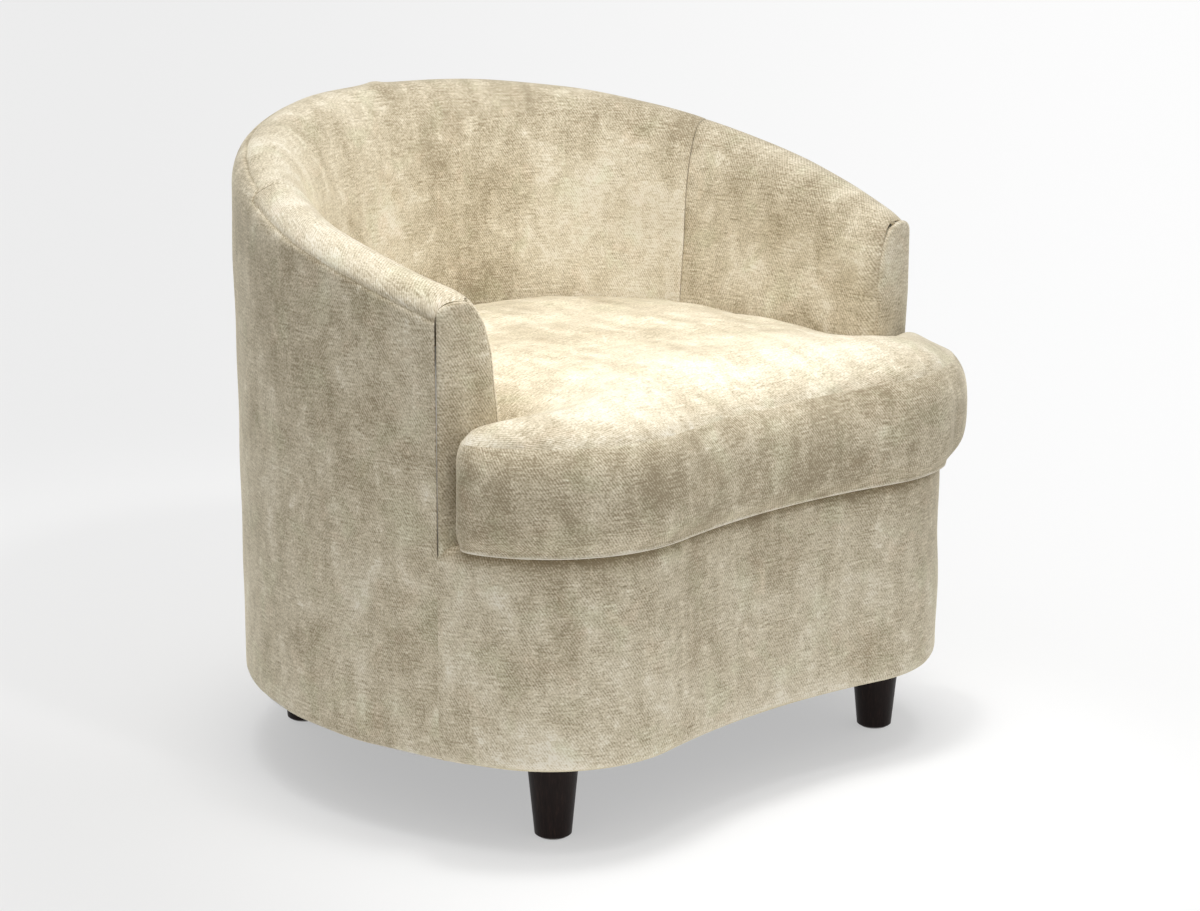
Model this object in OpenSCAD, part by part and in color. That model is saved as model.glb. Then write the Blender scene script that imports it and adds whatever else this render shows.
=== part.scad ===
/* [Tub plan] */
// Outside width of the tub; its back is a half circle of this diameter
tub_w = 750; // [720:5:800]
// Radius of the gentle curve that each arm follows toward the front
side_r = 510; // [470:10:600]
// Radius of the large round front corners
corner_r = 150; // [140:2:156]
// How far the two front lobes reach in front of the back's centre
front_reach = 303.5; // [290:0.5:312]
// How far the middle of the front lies behind the lobes
front_dip = 19.5; // [14:0.5:26]
// How far the vertical arm front seam lies behind the lobes
arm_setback = 145.5; // [138:0.5:152]
// Turn of the arm front panels, so that they face slightly outward
panel_turn = 11; // [8:0.5:13]
// Thickness of the padded wall at the back, down to the round seat well; the well's sides are straight
wall_t = 107; // [100:1:112]

/* [Heights] */
// Height of the legs, which is where the base begins
leg_h = 89; // [75:1:110]
// Height of the front base panel, from its bottom edge to the deck
apron_h = 224.7; // [205:0.1:240]
// Height of the rim's crest at the arm fronts, above the base's bottom edge
arm_h = 476; // [465:1:500]
// Rise of the rim for each millimetre toward the back
rim_slope = 0.2645; // [0.24:0.0005:0.29]

/* [Rolled rim] */
// Distance of the crest from the outside face
crest_in = 36; // [30:1:40]
// Distance of the outer rim seam below the crest
seam_drop = 20; // [16:1:24]
// Width over the rolled rim
roll_w = 82; // [78:1:88]
// Distance from the crest down to where the roll meets the inside face
roll_h = 85; // [75:1:92]
// Least slope of the inside face below the roll
face_lean = 5; // [4:0.5:8]
// Height above the deck at which the inside face becomes upright
face_z = 126; // [110:1:135]

/* [Upholstery layers] */
// Thickness of the cover fabric
cover_t = 1.5; // [1:0.1:2]
// Free gap between neighbouring layers
gap = 0.3; // [0.2:0.05:0.4]
// Thickness of the wadding on the outside
outside_pad_t = 4.6; // [3:0.1:6]
// Thickness of the fibreboard that closes the outside
board_t = 3; // [2:0.5:4]
// Thickness of the black cloth under the base
dust_t = 0.8; // [0.6:0.1:1.2]
// Width of the padded lip along the front of the deck
lip_w = 40; // [34:1:44]
// Radius of the fold along the top of the front panel
lip_r = 12; // [8:1:16]
// Thickness of the foam under the deck cloth
deck_foam_t = 24; // [16:1:30]
// Thickness of the felt on the seat springs
felt_t = 5; // [3:0.5:7]
// Thickness of the soft pad on each arm front
arm_pad_t = 5; // [3:0.5:6]
// Angle from the back's centre to the seams between the back and the arms
inside_seam_a = 67.5; // [63:0.5:72]
// Angle from the back's centre to the upright seams of the outside back
outside_seam_a = 37.5; // [34:0.5:42]

/* [Frame] */
// Thickness of the plywood rings and of the top rail
ply_t = 18; // [15:1:21]
// Width of the seat ring that stands inside the well, for the spring clips
ring_lip = 13; // [12:1:22]
// Width of the seat ring's front rail at the middle
seat_rail_w = 64; // [58:1:72]
// Least width of the seat ring at its front corners, from the outside face
seat_corner_w = 50; // [40:1:56]
// Width of the bottom ring round the back, from the outside face
base_ring_w = 87; // [80:1:95]
// Width of the bottom ring's front rail at the middle, from the outside face
base_rail_w = 62; // [52:1:84]
// Distance from the bottom ring's opening to the middle of each front leg
leg_land = 67; // [47:1:87]
// Thickness of the bent front board
front_board_t = 12; // [9:1:15]
// Thickness of a post, across the wall
post_t = 30; // [28:1:32]
// Width of a post, along the wall
post_w = 40; // [32:1:46]
// Distance from the crest down to the top of the top rail
rail_drop = 50; // [44:1:56]
// Distance of the top rail's inner edge from the outside face
rail_in = 48; // [46:1:50]
// Thickness of the bent tack rail
tack_t = 7; // [6:0.5:8]
// Height of the tack rail
tack_h = 40; // [30:1:60]
// Distance of the tack rail above the seat ring
tack_rise = 20; // [14:1:30]
// Thickness of the boards behind the arm front panels
arm_board_t = 28; // [22:1:30]
// Diameter of the frame screws
screw_d = 5; // [4:0.5:6]
// Length of the frame screws
screw_len = 55; // [45:1:65]

/* [Webbing and springs] */
// Width of a webbing strap
strap_w = 50; // [40:1:56]
// Thickness of a webbing strap
strap_t = 1.5; // [1:0.1:1.6]
// Number of seat springs
spring_count = 5; // [4:1:6]
// Distance between neighbouring seat springs
spring_pitch = 84; // [70:1:86]
// Diameter of the spring wire
wire_d = 3.8; // [3:0.1:4.2]
// Overall width of a zigzag spring
spring_w = 50; // [40:1:56]
// Distance between the bars of a zigzag spring
bar_pitch = 38; // [34:1:44]
// Thickness of the clip sheet
clip_t = 1.2; // [0.8:0.1:1.5]
// Width of a spring clip
clip_w = 24; // [18:1:28]
// Depth of a spring clip
clip_l = 14; // [12:1:18]

/* [Seat cushion] */
// How far the cushion stands out over the base at the front
overhang = 12; // [9:0.5:15]
// Free gap between the cushion and the well
cushion_gap = 6; // [5:0.5:9]
// Free gap between the cushion's ears and the arm fronts
ear_gap = 2; // [1.5:0.5:4]
// Radius of the ears' rear corners
ear_r = 24; // [20:1:27]
// Height of the boxing
boxing_h = 110; // [100:1:118]
// Height of the crown above the top seam
crown_h = 34; // [26:1:38]
// How far the seams are drawn in behind the middle of the boxing
drawn_in = 7; // [4:0.5:9]
// Distance over which the crown rises from the seam
crown_ramp = 120; // [90:5:160]
// Thickness of the fibre topper's edge
topper_edge = 14; // [10:1:18]

/* [Zip] */
// Angle from the back's centre to each end of the zip
zip_a = 68; // [60:1:72]
// Height of the zip tape
tape_h = 26; // [22:1:30]
// Thickness of the zip tape
tape_t = 0.6; // [0.4:0.1:0.7]
// Height of the coil
coil_h = 5; // [4:0.5:6]
// Thickness of the coil
coil_t = 1.5; // [1.2:0.1:1.6]
// Wall of the slider
slider_wall = 0.8; // [0.6:0.1:1]
// Arc length of the slider, as an angle about the back's centre
slider_a = 2.4; // [1.8:0.1:3]
// Length of the pull
pull_l = 24; // [18:1:30]

/* [Legs] */
// Diameter of a leg at the floor
leg_foot_d = 38.2; // [34:0.1:44]
// Diameter of a leg at the base
leg_top_d = 55; // [50:0.5:60]
// Distance of each front leg's middle from the outside face of its round corner
front_leg_in = 66.5; // [62:0.5:74]
// Angle of each front leg forward of straight out to the side, about its corner's centre
front_leg_a = 47.5; // [43:0.5:52]
// Distance of each back leg's middle from the outside face
back_leg_in = 55; // [50:0.5:62]
// Angle of each back leg from the middle of the back
back_leg_a = 39.2; // [36:0.1:44]
// Diameter of the glide under each leg
glide_d = 30; // [24:1:32]
// Thickness of the glide
glide_t = 2; // [1.5:0.5:3]
// Diameter of the nail in the glide
nail_d = 2.4; // [2:0.1:3]
// Length of the nail in the glide
nail_len = 14; // [10:1:18]
// Diameter of the hanger bolt that holds a leg
bolt_d = 8; // [6:1:10]
// Length of the bolt's screw end in the leg
bolt_in_leg = 34; // [26:1:40]
// Radial clearance of bolts and screws in their holes
bolt_gap = 0.05; // [0.02:0.01:0.1]
// Flange diameter of the nut pressed into the bottom ring
nut_flange_d = 22; // [19:1:24]
// Flange thickness of that nut
nut_flange_t = 1.5; // [1:0.1:2]
// Wall of the nut's barrel
nut_wall = 1.2; // [1:0.1:1.6]
// Length of the nut's barrel
nut_len = 11; // [8:1:14]

/* [Hidden] */

// Steps along each stretch of the plan
back_n = 12;
side_n = 4;
ear_n = 2;
corner_n = 8;
dip_n = 3;
// A round piece has this many facets where it is drawn, and a hidden wire this many sides
fine = 48;
wire_sides = 6;
// Sides of the round openings in the plywood rings
smooth = 96;
// Larger than the chair in every direction
beyond = 1000;
// Share of a degree that parts two covers at their common seam
seam_slit = 0.1;

// The plan's circles: back, arms, front corners and the hollow middle of the front
back_r = tub_w / 2;
well_r = back_r - wall_t;
side_cx = back_r - side_r;
corner_a = asin((front_reach - corner_r) / (side_r - corner_r));
corner_cx = side_cx + (side_r - corner_r) * cos(corner_a);
corner_up = front_reach - corner_r;
dip_up = corner_up - (front_reach - front_dip);
dip_r = (corner_cx * corner_cx + dip_up * dip_up - corner_r * corner_r) / (2 * (corner_r + dip_up));
dip_a = asin(corner_cx / (dip_r + corner_r));
seam_reach = front_reach - arm_setback;
seam_a = asin(seam_reach / side_r);
cushion_front = front_reach + overhang;
dip_reach = front_reach - front_dip;
// The origin lies under the middle of the box round the whole chair
back_cy = (cushion_front - back_r) / 2;
dip_cy = back_cy - corner_up - sqrt(pow(dip_r + corner_r, 2) - pow(corner_cx, 2));

// Heights, from the floor up
base_z = leg_h;
deck_z = base_z + apron_h;
ring_z = base_z + dust_t;
ring_top = ring_z + ply_t;
deck_foam_z = deck_z - cover_t - gap - deck_foam_t;
felt_z = deck_foam_z - gap - felt_t;
clip_h = 2 * clip_t + wire_d + 2 * gap;
seat_top = felt_z - gap - clip_h;
seat_z = seat_top - ply_t;
tack_z = seat_top + tack_rise;
rim_front_z = base_z + arm_h;
rim_front_y = back_cy - seam_reach - crest_in * sin(panel_turn);
rim_a = atan(rim_slope);
face_top = deck_z + face_z;

// Depths into the wall, from the outside face
pad_in = cover_t + gap;
board_in = pad_in + outside_pad_t + gap;
frame_in = board_in + board_t + gap;
// A flat piece of width w inside a round wall of radius r has to stand this far off the wall
function sag(w, r) = r - sqrt(r * r - w * w / 4) + r * (1 - cos(45 / back_n));
post_in = frame_in - gap / 2 + sag(post_w, back_r - frame_in);
tack_in = post_in + post_t + gap;
strap_in = tack_in + tack_t + sag(strap_w, back_r - tack_in - tack_t) + gap;
foam_in = strap_in + strap_t + gap;
// The pads and boards behind the arm fronts keep clear of the inside cover, which slants past them
arm_slant = 2;
arm_pad_in = cover_t + arm_slant;
arm_board_in = frame_in + 2 * arm_slant;

// A station is [x, y, inward x, inward y, wall thickness, depth per millimetre square to the wall]
function arc(cx, cy, r, a, b, n, s = 1, w = 0) =
  [for (i = [0:n]) let (t = a + (b - a) * i / n)
    [cx + r * cos(t), cy + r * sin(t), -s * cos(t), -s * sin(t), w, 1]];
function tail(v, k = 1) = [for (i = [k:len(v) - 1]) v[i]];
function turned(v) = [for (i = [len(v) - 1:-1:0]) v[i]];
function flip(v) = [for (s = turned(v)) [-s[0], s[1], -s[2], s[3], s[4], s[5]]];
function both(v) = concat(flip(tail(v)), v);

// Back and arm stations; along the arms the inward direction turns to lie in the arm front,
// so that the end of each sweep is flat
function arm_station(a, turn) =
  let (x = side_cx + side_r * cos(a))
  [x, back_cy - side_r * sin(a), -cos(turn), -sin(turn), (x - well_r) / cos(turn), 1 / cos(a + turn)];
function arm_arc(n) = [for (i = [1:n]) arm_station(seam_a * i / n, panel_turn * i / n)];
function back_arc(a, b, n) = arc(0, back_cy, back_r, 90 - a, 90 - b, n, 1, back_r - well_r);
wall_half = concat(back_arc(0, 90, back_n), arm_arc(side_n));
wall = both(wall_half);
seam_station = wall_half[back_n + side_n];
inner_wall = both([for (i = [0:back_n + side_n - 1]) wall_half[i]]);

// The closed outline of the base, square to its edge everywhere
outline_half = concat(
  arc(0, back_cy, back_r, 90, 0, back_n),
  tail(arc(side_cx, back_cy, side_r, 0, -seam_a, side_n)),
  tail(arc(side_cx, back_cy, side_r, -seam_a, -corner_a, ear_n)),
  tail(arc(corner_cx, back_cy - corner_up, corner_r, -corner_a, -90 - dip_a, corner_n)),
  tail(arc(0, dip_cy, dip_r, 90 - dip_a, 90, dip_n, -1)));
outline = concat(outline_half, tail(flip(tail(outline_half))));

// The frame's stations run round the back and arms, square to the outline
frame_wall = both([for (i = [0:back_n + side_n]) outline_half[i]]);

// Front stations, from one arm front seam to the other
front_corner = tail(outline_half, back_n + side_n + ear_n);
function eased(i) = let (f = i / ear_n, a = seam_a + (corner_a - seam_a) * f,
  t = panel_turn * (1 - f) - corner_a * f)
  [side_cx + side_r * cos(a), back_cy - side_r * sin(a), -cos(t), -sin(t), 0];
front_half = concat([for (i = [seam_slit, 1]) eased(i)], front_corner);
front = concat(front_half, tail(flip(front_half)));

function rim_z(y) = rim_front_z + rim_slope * (y - rim_front_y);
// A profile point is [depth, height, 1 where the height counts from the sloping rim]
function place(s, p) =
  let (x = s[0] + s[2] * p[0], y = s[1] + s[3] * p[0]) [x, y, p[1] + (p[2] == 1 ? rim_z(y) : 0)];
function top_w(s) = min(roll_w, s[4] - face_lean);
function outer_curl(s, e, step = 30) = [for (t = [0:step:90])
  [crest_in - (crest_in - e) * cos(t), -seam_drop + (seam_drop - e) * sin(t), 1]];
function inner_curl(s, e, from, to, n) = [for (i = [0:n]) let (t = from + (to - from) * i / n)
  [crest_in + (top_w(s) - crest_in - e) * cos(t), -roll_h + (roll_h - e) * sin(t), 1]];
function face(s, e, z) = [[s[4] - e, face_top, 0], [s[4] - e, z, 0]];
curl_a = 67.5;
split_a = curl_a / 3;
function skin(s, e, z) = concat(outer_curl(s, e), inner_curl(s, e, curl_a, 0, 3), face(s, e, z));

// Closed solid through rings of points; each ring goes round the same way. The back of a sheet has
// its faces cut like its front. A sheet's rings hold its front's points and then its back's, turned
function cut(a, b, c, d, other) = other ? [[a, c, b], [b, c, d]] : [[a, c, d], [a, d, b]];
function sides(n, m, back_point, back_ring) = [for (i = [0:n - 2], j = [0:m - 1])
  let (a = i * m + j, b = i * m + (j + 1) % m)
  each cut(a, b, a + m, b + m, j >= back_point || i < back_ring)];
module loft(rings) {
  n = len(rings);
  m = len(rings[0]);
  ends = [[for (j = [0:m - 1]) j], [for (j = [m - 1:-1:0]) (n - 1) * m + j]];
  polyhedron([for (r = rings) each r], concat(sides(n, m, m, 0), ends));
}
module sheet(rings) {
  n = len(rings);
  m = len(rings[0]);
  o = (n - 1) * m;
  ends = [for (j = [0:m / 2 - 2]) let (k = j + 1, p = m - 2 - j, q = m - 1 - j)
    each [[j, k, p], [j, p, q], [o + k, o + j, o + p], [o + p, o + j, o + q]]];
  polyhedron([for (r = rings) each r], concat(sides(n, m, m / 2, 0), ends));
}
// Closed solid through level rings, with each end fanned out from a point inside it
module cushion_loft(rings, back_ring = 0) {
  n = len(rings);
  m = len(rings[0]);
  hubs = [for (i = [0, n - 1]) [0, back_cy + spoke_front, rings[i][0][2]]];
  ends = [for (j = [0:m - 1]) let (k = (j + 1) % m, o = (n - 1) * m)
    each [[n * m, j, k], [n * m + 1, o + k, o + j]]];
  polyhedron([for (r = concat(rings, [hubs])) each r], concat(sides(n, m, m, back_ring), ends));
}
function flat(v, d) = [for (s = v) [s[0] + s[2] * d, s[1] + s[3] * d]];
module band(v, d0, d1) { polygon(concat(flat(v, d0), turned(flat(v, d1)))); }

// Everything below a plane parallel to the rim
module under_rim(drop) {
  translate([0, rim_front_y, rim_front_z]) rotate([rim_a, 0, 0])
    translate([-beyond, -beyond, -beyond - drop * cos(rim_a)]) cube([2 * beyond, 3 * beyond, beyond]);
}
// The right arm front: x runs inward along the panel and y points forward
module at_arm_front(side) {
  mirror([side > 0 ? 0 : 1, 0, 0]) translate([seam_station[0], seam_station[1], 0])
    rotate([0, 0, 180 + panel_turn]) children();
}
module arm_profile(e, z, outer_e = 0) {
  p = skin(seam_station, e, z);
  intersection() {
    polygon(concat([[e, z]], [for (q = p) [q[0], place(seam_station, q)[2]]]));
    translate([outer_e, 0]) square([back_r, 2 * beyond]);
  }
}
module plate(t) { rotate([90, 0, 0]) linear_extrude(t) children(); }
module clear_of_arm_boards() {
  difference() {
    children();
    for (side = [-1, 1]) at_arm_front(side)
      translate([-back_r / 2, -arm_pad_t - arm_board_t - 3 * gap, 0]) cube([back_r, beyond, beyond]);
  }
}

// Where the posts stand: angles round the back from its middle, along the arm and round the corner
post_angles = [0, 30, 60, 90];
arm_post_a = -9;
corner_post_angles = [-97, -26];
function at_wall(angles, arm_a) = both(concat(
  [for (a = angles) arc(0, back_cy, back_r, 90 - a, 0, 1)[0]],
  [arc(side_cx, back_cy, side_r, arm_a, 0, 1)[0]]));
post_stations = at_wall(post_angles, arm_post_a);
front_post_in = frame_in + front_board_t + gap + sag(post_w, corner_r - frame_in - front_board_t);
front_post_stations = both(concat([[0, back_cy - dip_reach, 0, 1, 0]],
  [for (a = corner_post_angles) arc(corner_cx, back_cy - corner_up, corner_r, a, 0, 1)[0]]));
module at_station(s, d) {
  translate([s[0] + s[2] * d, s[1] + s[3] * d, 0]) rotate([0, 0, atan2(s[3], s[2])]) children();
}
front_leg_r = corner_r - front_leg_in;
front_leg_x = corner_cx + front_leg_r * cos(front_leg_a);
front_leg_y = back_cy - corner_up - front_leg_r * sin(front_leg_a);
back_leg_x = (back_r - back_leg_in) * sin(back_leg_a);
back_leg_y = back_cy + (back_r - back_leg_in) * cos(back_leg_a);
leg_places = [[-front_leg_x, front_leg_y], [front_leg_x, front_leg_y], [-back_leg_x, back_leg_y],
  [back_leg_x, back_leg_y]];

// Tapered wooden leg with holes for its bolt and for the glide's nail
module leg(place) {
  taper = (leg_top_d - leg_foot_d) / 2 / (leg_h - glide_t);
  edge = 1;
  color("#2b1b14") translate([place[0], place[1], 0]) difference() {
    rotate_extrude($fn = fine) polygon([[0, glide_t], [leg_foot_d / 2 - edge, glide_t],
      [leg_foot_d / 2 + taper * edge, glide_t + edge], [leg_top_d / 2, leg_h], [0, leg_h]]);
    translate([0, 0, leg_h - bolt_in_leg - edge])
      cylinder(h = bolt_in_leg + 2 * edge, d = bolt_d + 2 * bolt_gap, $fn = fine);
    cylinder(h = glide_t + nail_len + edge, d = nail_d + 2 * bolt_gap, $fn = fine);
  }
}
module leg_front_left() { leg(leg_places[0]); }
module leg_front_right() { leg(leg_places[1]); }
module leg_back_left() { leg(leg_places[2]); }
module leg_back_right() { leg(leg_places[3]); }
module leg_glides() {
  color("#4a4642") for (p = leg_places) translate([p[0], p[1], 0]) {
    cylinder(h = glide_t, d = glide_d, $fn = fine);
    cylinder(h = glide_t + nail_len, d = nail_d, $fn = fine);
  }
}
// Hanger bolts: screwed into the leg below, threaded into the nut above
module hanger_bolts() {
  color("#b9b9b5") for (p = leg_places) translate([p[0], p[1], leg_h - bolt_in_leg])
    cylinder(h = ring_top + nut_flange_t - leg_h + bolt_in_leg, d = bolt_d, $fn = fine);
}
nut_d = bolt_d + 2 * bolt_gap + 2 * nut_wall;
module leg_nuts() {
  color("#c4c2ba") for (p = leg_places) translate([p[0], p[1], 0]) difference() {
    union() {
      translate([0, 0, ring_top]) cylinder(h = nut_flange_t, d = nut_flange_d, $fn = fine);
      translate([0, 0, ring_top - nut_len]) cylinder(h = nut_len + nut_flange_t, d = nut_d, $fn = fine);
    }
    cylinder(h = beyond, d = bolt_d + 2 * bolt_gap, $fn = fine);
  }
}

// Plywood rings; the seat ring's opening is spanned by the springs
module bottom_ring() {
  opening_w = front_leg_x - leg_land;
  opening_reach = dip_reach - base_rail_w;
  color("#c8a878") difference() {
    translate([0, 0, ring_z]) linear_extrude(ply_t) difference() {
      polygon(flat(outline, frame_in));
      translate([0, back_cy]) circle(back_r - base_ring_w, $fn = smooth);
      translate([-opening_w, back_cy - opening_reach]) square([2 * opening_w, opening_reach]);
      for (p = leg_places) translate(p) circle(d = nut_d + 2 * bolt_gap, $fn = fine);
    }
    screw_holes();
  }
}
module spring_hole(r, reach) {
  translate([0, back_cy]) circle(r, $fn = smooth);
  translate([-r, back_cy - reach]) square([2 * r, reach]);
}
spring_hole_r = well_r - ring_lip;
spring_hole_reach = dip_reach - seat_rail_w;
module seat_ring() {
  color("#c8a878") translate([0, 0, seat_z]) linear_extrude(ply_t) difference() {
    polygon(flat(outline, frame_in));
    intersection() {
      spring_hole(spring_hole_r, spring_hole_reach);
      polygon(flat(outline, seat_corner_w));
    }
  }
}
module lower_posts() {
  color("#b98d58") difference() {
    union() {
      for (s = post_stations) at_station(s, post_in) translate([0, -post_w / 2, ring_top])
        cube([post_t, post_w, seat_z - ring_top]);
      for (s = front_post_stations) at_station(s, front_post_in) translate([0, -post_w / 2, ring_top])
        cube([post_t, post_w, seat_z - ring_top]);
    }
    screw_holes();
  }
}
module upper_posts() {
  color("#b98d58") intersection() {
    for (s = post_stations) at_station(s, post_in) translate([0, -post_w / 2, seat_top])
      cube([post_t, post_w, beyond]);
    under_rim(rail_drop + ply_t / cos(rim_a));
  }
}
// Serpentine board that closes the front between the rings
module front_board() {
  board = [for (i = [back_n + side_n:len(outline_half) - 1]) outline_half[i]];
  color("#cdb083") translate([0, 0, ring_top]) linear_extrude(seat_z - ring_top)
    band(concat(board, tail(flip(board))), frame_in, frame_in + front_board_t);
}
// Sloping plywood rail under the rim
module top_rail() {
  color("#c8a878") clear_of_arm_boards() intersection() {
    linear_extrude(beyond) band(frame_wall, frame_in, rail_in);
    difference() {
      under_rim(rail_drop);
      under_rim(rail_drop + ply_t / cos(rim_a));
    }
  }
}
module tack_rail() {
  color("#cdb083") clear_of_arm_boards() translate([0, 0, tack_z]) linear_extrude(tack_h)
    band(frame_wall, tack_in, tack_in + tack_t);
}
// Boards that stand behind the arm front panels
module arm_board(side) {
  color("#b98d58") at_arm_front(side) translate([0, -arm_pad_t - 2 * gap, 0])
    plate(arm_board_t) arm_profile(arm_board_in, seat_top, frame_in + gap);
}
module arm_board_left() { arm_board(-1); }
module arm_board_right() { arm_board(1); }
module screw_holes() { frame_screw_set(bolt_gap, 1); }
module frame_screw_set(grow, extra) {
  head = screw_d;
  for (v = [[post_stations, post_in], [front_post_stations, front_post_in]], s = v[0])
    at_station(s, v[1] + post_t / 2) translate([0, 0, ring_z - extra]) {
      cylinder(h = screw_len + extra, r = screw_d / 2 + grow, $fn = fine);
      cylinder(h = head / 2 + extra, r = head + grow, $fn = fine);
    }
}
module frame_screws() { color("#9b978c") frame_screw_set(0, 0); }

// Zigzag springs from the front edge of the opening to the back edge
function end_y(x) = back_cy + sqrt(pow(spring_hole_r, 2) - x * x) + clip_l / 2;
front_y = back_cy - spring_hole_reach - clip_l / 2;
spring_xs = [for (i = [0:spring_count - 1]) (i - (spring_count - 1) / 2) * spring_pitch];
wire_z = seat_top + clip_t + gap + wire_d / 2;
function bars(x) = round((end_y(x) - front_y) / bar_pitch);
function zigzag(x) =
  let (n = bars(x), p = (end_y(x) - front_y) / n, r = p / 2, half = spring_w / 2 - r)
  [for (k = [0:n]) let (y = front_y + k * p, s = k % 2 == 0 ? 1 : -1)
    each concat([[x - s * half, y], [x + s * half, y]],
      k < n ? [for (t = [-45, 0, 45]) [x + s * (half + r * cos(t)), y + r + r * sin(t)]] : [])];
module wire(path) {
  n = len(path);
  loft([for (i = [0:n - 1])
    let (a = path[max(i - 1, 0)], b = path[min(i + 1, n - 1)], l = norm(b - a), t = (b - a) / l)
    [for (j = [0:wire_sides - 1]) let (q = 360 * j / wire_sides, r = wire_d / 2)
      [path[i][0] - t[1] * r * cos(q), path[i][1] + t[0] * r * cos(q), wire_z + r * sin(q)]]]);
}
module seat_springs() { color("#8d8f90") for (x = spring_xs) wire(zigzag(x)); }
module clip(x, y, back) {
  translate([x - clip_w / 2, y - clip_l / 2, seat_top]) {
    cube([clip_w, clip_l, clip_t]);
    translate([0, 0, clip_h - clip_t]) cube([clip_w, clip_l, clip_t]);
    translate([0, back ? clip_l - clip_t : 0, 0]) cube([clip_w, clip_t, clip_h]);
  }
}
module spring_clips() {
  color("#a7a9aa") for (x = spring_xs) {
    clip(x, front_y, false);
    clip(x, end_y(x), true);
  }
}
// Elastic straps from the tack rail up to the top rail
strap_angles = [0, 20, 40, 60, 80];
arm_strap_a = -6;
strap_stations = at_wall(strap_angles, arm_strap_a);
module webbing_straps() {
  color("#3d3b38") intersection() {
    for (s = strap_stations) at_station(s, strap_in) translate([0, -strap_w / 2, tack_z + gap])
      cube([strap_t, strap_w, beyond]);
    under_rim(rail_drop);
  }
}

// Seat deck: felt over the springs, foam, then cloth up to the padded lip
deck_gap = 1.5;
module deck_plan(e) {
  intersection() {
    polygon(flat(outline, lip_w + gap));
    union() {
      spring_hole(well_r - e, seam_reach);
      translate([-beyond, rim_front_y - roll_w * sin(panel_turn) - 2 * (cover_t + gap) - e - beyond])
        square([2 * beyond, beyond]);
      translate([-well_r + e, rim_front_y - roll_w]) square([2 * (well_r - e), roll_w]);
    }
  }
}
module deck_felt() { color("#7d7a72") translate([0, 0, felt_z]) linear_extrude(felt_t) deck_plan(deck_gap); }
module deck_foam() {
  color("#efe4c4") translate([0, 0, deck_foam_z]) linear_extrude(deck_foam_t) deck_plan(deck_gap);
}
module deck_cover() {
  color("#b9ab97") translate([0, 0, deck_z - cover_t]) linear_extrude(cover_t) deck_plan(deck_gap);
}

// Foam inside the wall, split at the top rail: face foam below, rolled edge above
module inside_foam() {
  e = cover_t + gap;
  color("#efe4c4") loft([for (s = inner_wall)
    let (curl = inner_curl(s, e, split_a, 0, 1), top = curl[0] + (curl[1] - curl[0]) * 3 * gap / roll_h)
    [for (p = concat([[foam_in * s[5], -rail_drop - gap, 1], top, curl[1]], face(s, e, felt_z),
      [[foam_in * s[5], felt_z, 0]])) place(s, p)]]);
}
module rim_roll() {
  e = cover_t + gap;
  z = -rail_drop + gap;
  color("#f3ead0") loft([for (s = inner_wall) [for (p = concat([[e, z, 1]], outer_curl(s, e),
    inner_curl(s, e, curl_a, split_a, 2), [[foam_in * s[5], z, 1]])) place(s, p)]]);
}
// Padding over the front board and the round lip above it
module front_padding() {
  e = cover_t + gap;
  z = base_z + gap;
  color("#efe4c4") loft([for (s = front) [for (p = concat([[e, z]],
    [for (t = [0:30:90]) [lip_r - (lip_r - e) * cos(t), deck_z - lip_r + (lip_r - e) * sin(t)]],
    [[lip_w - gap, deck_z - e], [lip_w - gap, seat_top + gap], [frame_in - gap, seat_top + gap],
     [frame_in - gap, z]])) place(s, p)]]);
}
module arm_pad(side) {
  color("#efe4c4") at_arm_front(side) translate([0, -gap, 0])
    plate(arm_pad_t) arm_profile(arm_pad_in, seat_top + gap, frame_in + gap);
}
module arm_pad_left() { arm_pad(-1); }
module arm_pad_right() { arm_pad(1); }
module wall_layer(d, t, drop, z, v) {
  loft([for (s = v) [for (p = [[d, z, 0], [d, -drop, 1], [d + t, -drop, 1], [d + t, z, 0]]) place(s, p)]]);
}
module outside_wadding() {
  color("#e7e3da") wall_layer(pad_in, outside_pad_t, rail_drop + gap, base_z + gap, wall);
}
module outside_board() {
  color("#a58a63") wall_layer(board_in, board_t, rail_drop + gap, base_z + gap, wall);
}

// Cover pieces: each is a closed sheet of fabric, cut and sewn at the seams
module inside_cover(v) {
  color("#c9bba6") sheet([for (s = v)
    [for (p = concat(skin(s, 0, felt_z), turned(skin(s, cover_t, felt_z))))
      place(s, p + [0, p[0] <= cover_t ? gap : 0, 0])]]);
}
inside_n = 9;
module inside_back_cover() { inside_cover(both(back_arc(0, inside_seam_a, inside_n))); }
inside_arm = concat(back_arc(inside_seam_a + seam_slit, 90, back_n - inside_n), arm_arc(side_n));
module inside_arm_cover_left() { inside_cover(flip(inside_arm)); }
module inside_arm_cover_right() { inside_cover(inside_arm); }
outside_n = 5;
module outside_cover(v) { color("#ab9d89") wall_layer(0, cover_t, seam_drop, base_z, v); }
module outside_back_cover() { outside_cover(both(back_arc(0, outside_seam_a, outside_n))); }
outside_arm = concat(back_arc(outside_seam_a + seam_slit, 90, back_n - outside_n), arm_arc(side_n));
module outside_arm_cover_left() { outside_cover(flip(outside_arm)); }
module outside_arm_cover_right() { outside_cover(outside_arm); }
module arm_front_cover(side) {
  color("#bfb09a") at_arm_front(side) translate([0, cover_t + gap, 0])
    plate(cover_t) arm_profile(0, deck_z + gap);
}
module arm_front_cover_left() { arm_front_cover(-1); }
module arm_front_cover_right() { arm_front_cover(1); }
module front_base_cover() {
  function lip(e) = concat([[e, base_z, 0]],
    [for (t = [0:22.5:90]) [lip_r - (lip_r - e) * cos(t), deck_z - lip_r + (lip_r - e) * sin(t), 0]],
    [[lip_w - gap, deck_z - e, 0]]);
  color("#bfb09a") sheet([for (s = front) [for (p = concat(lip(0), turned(lip(cover_t)))) place(s, p)]]);
}
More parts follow.
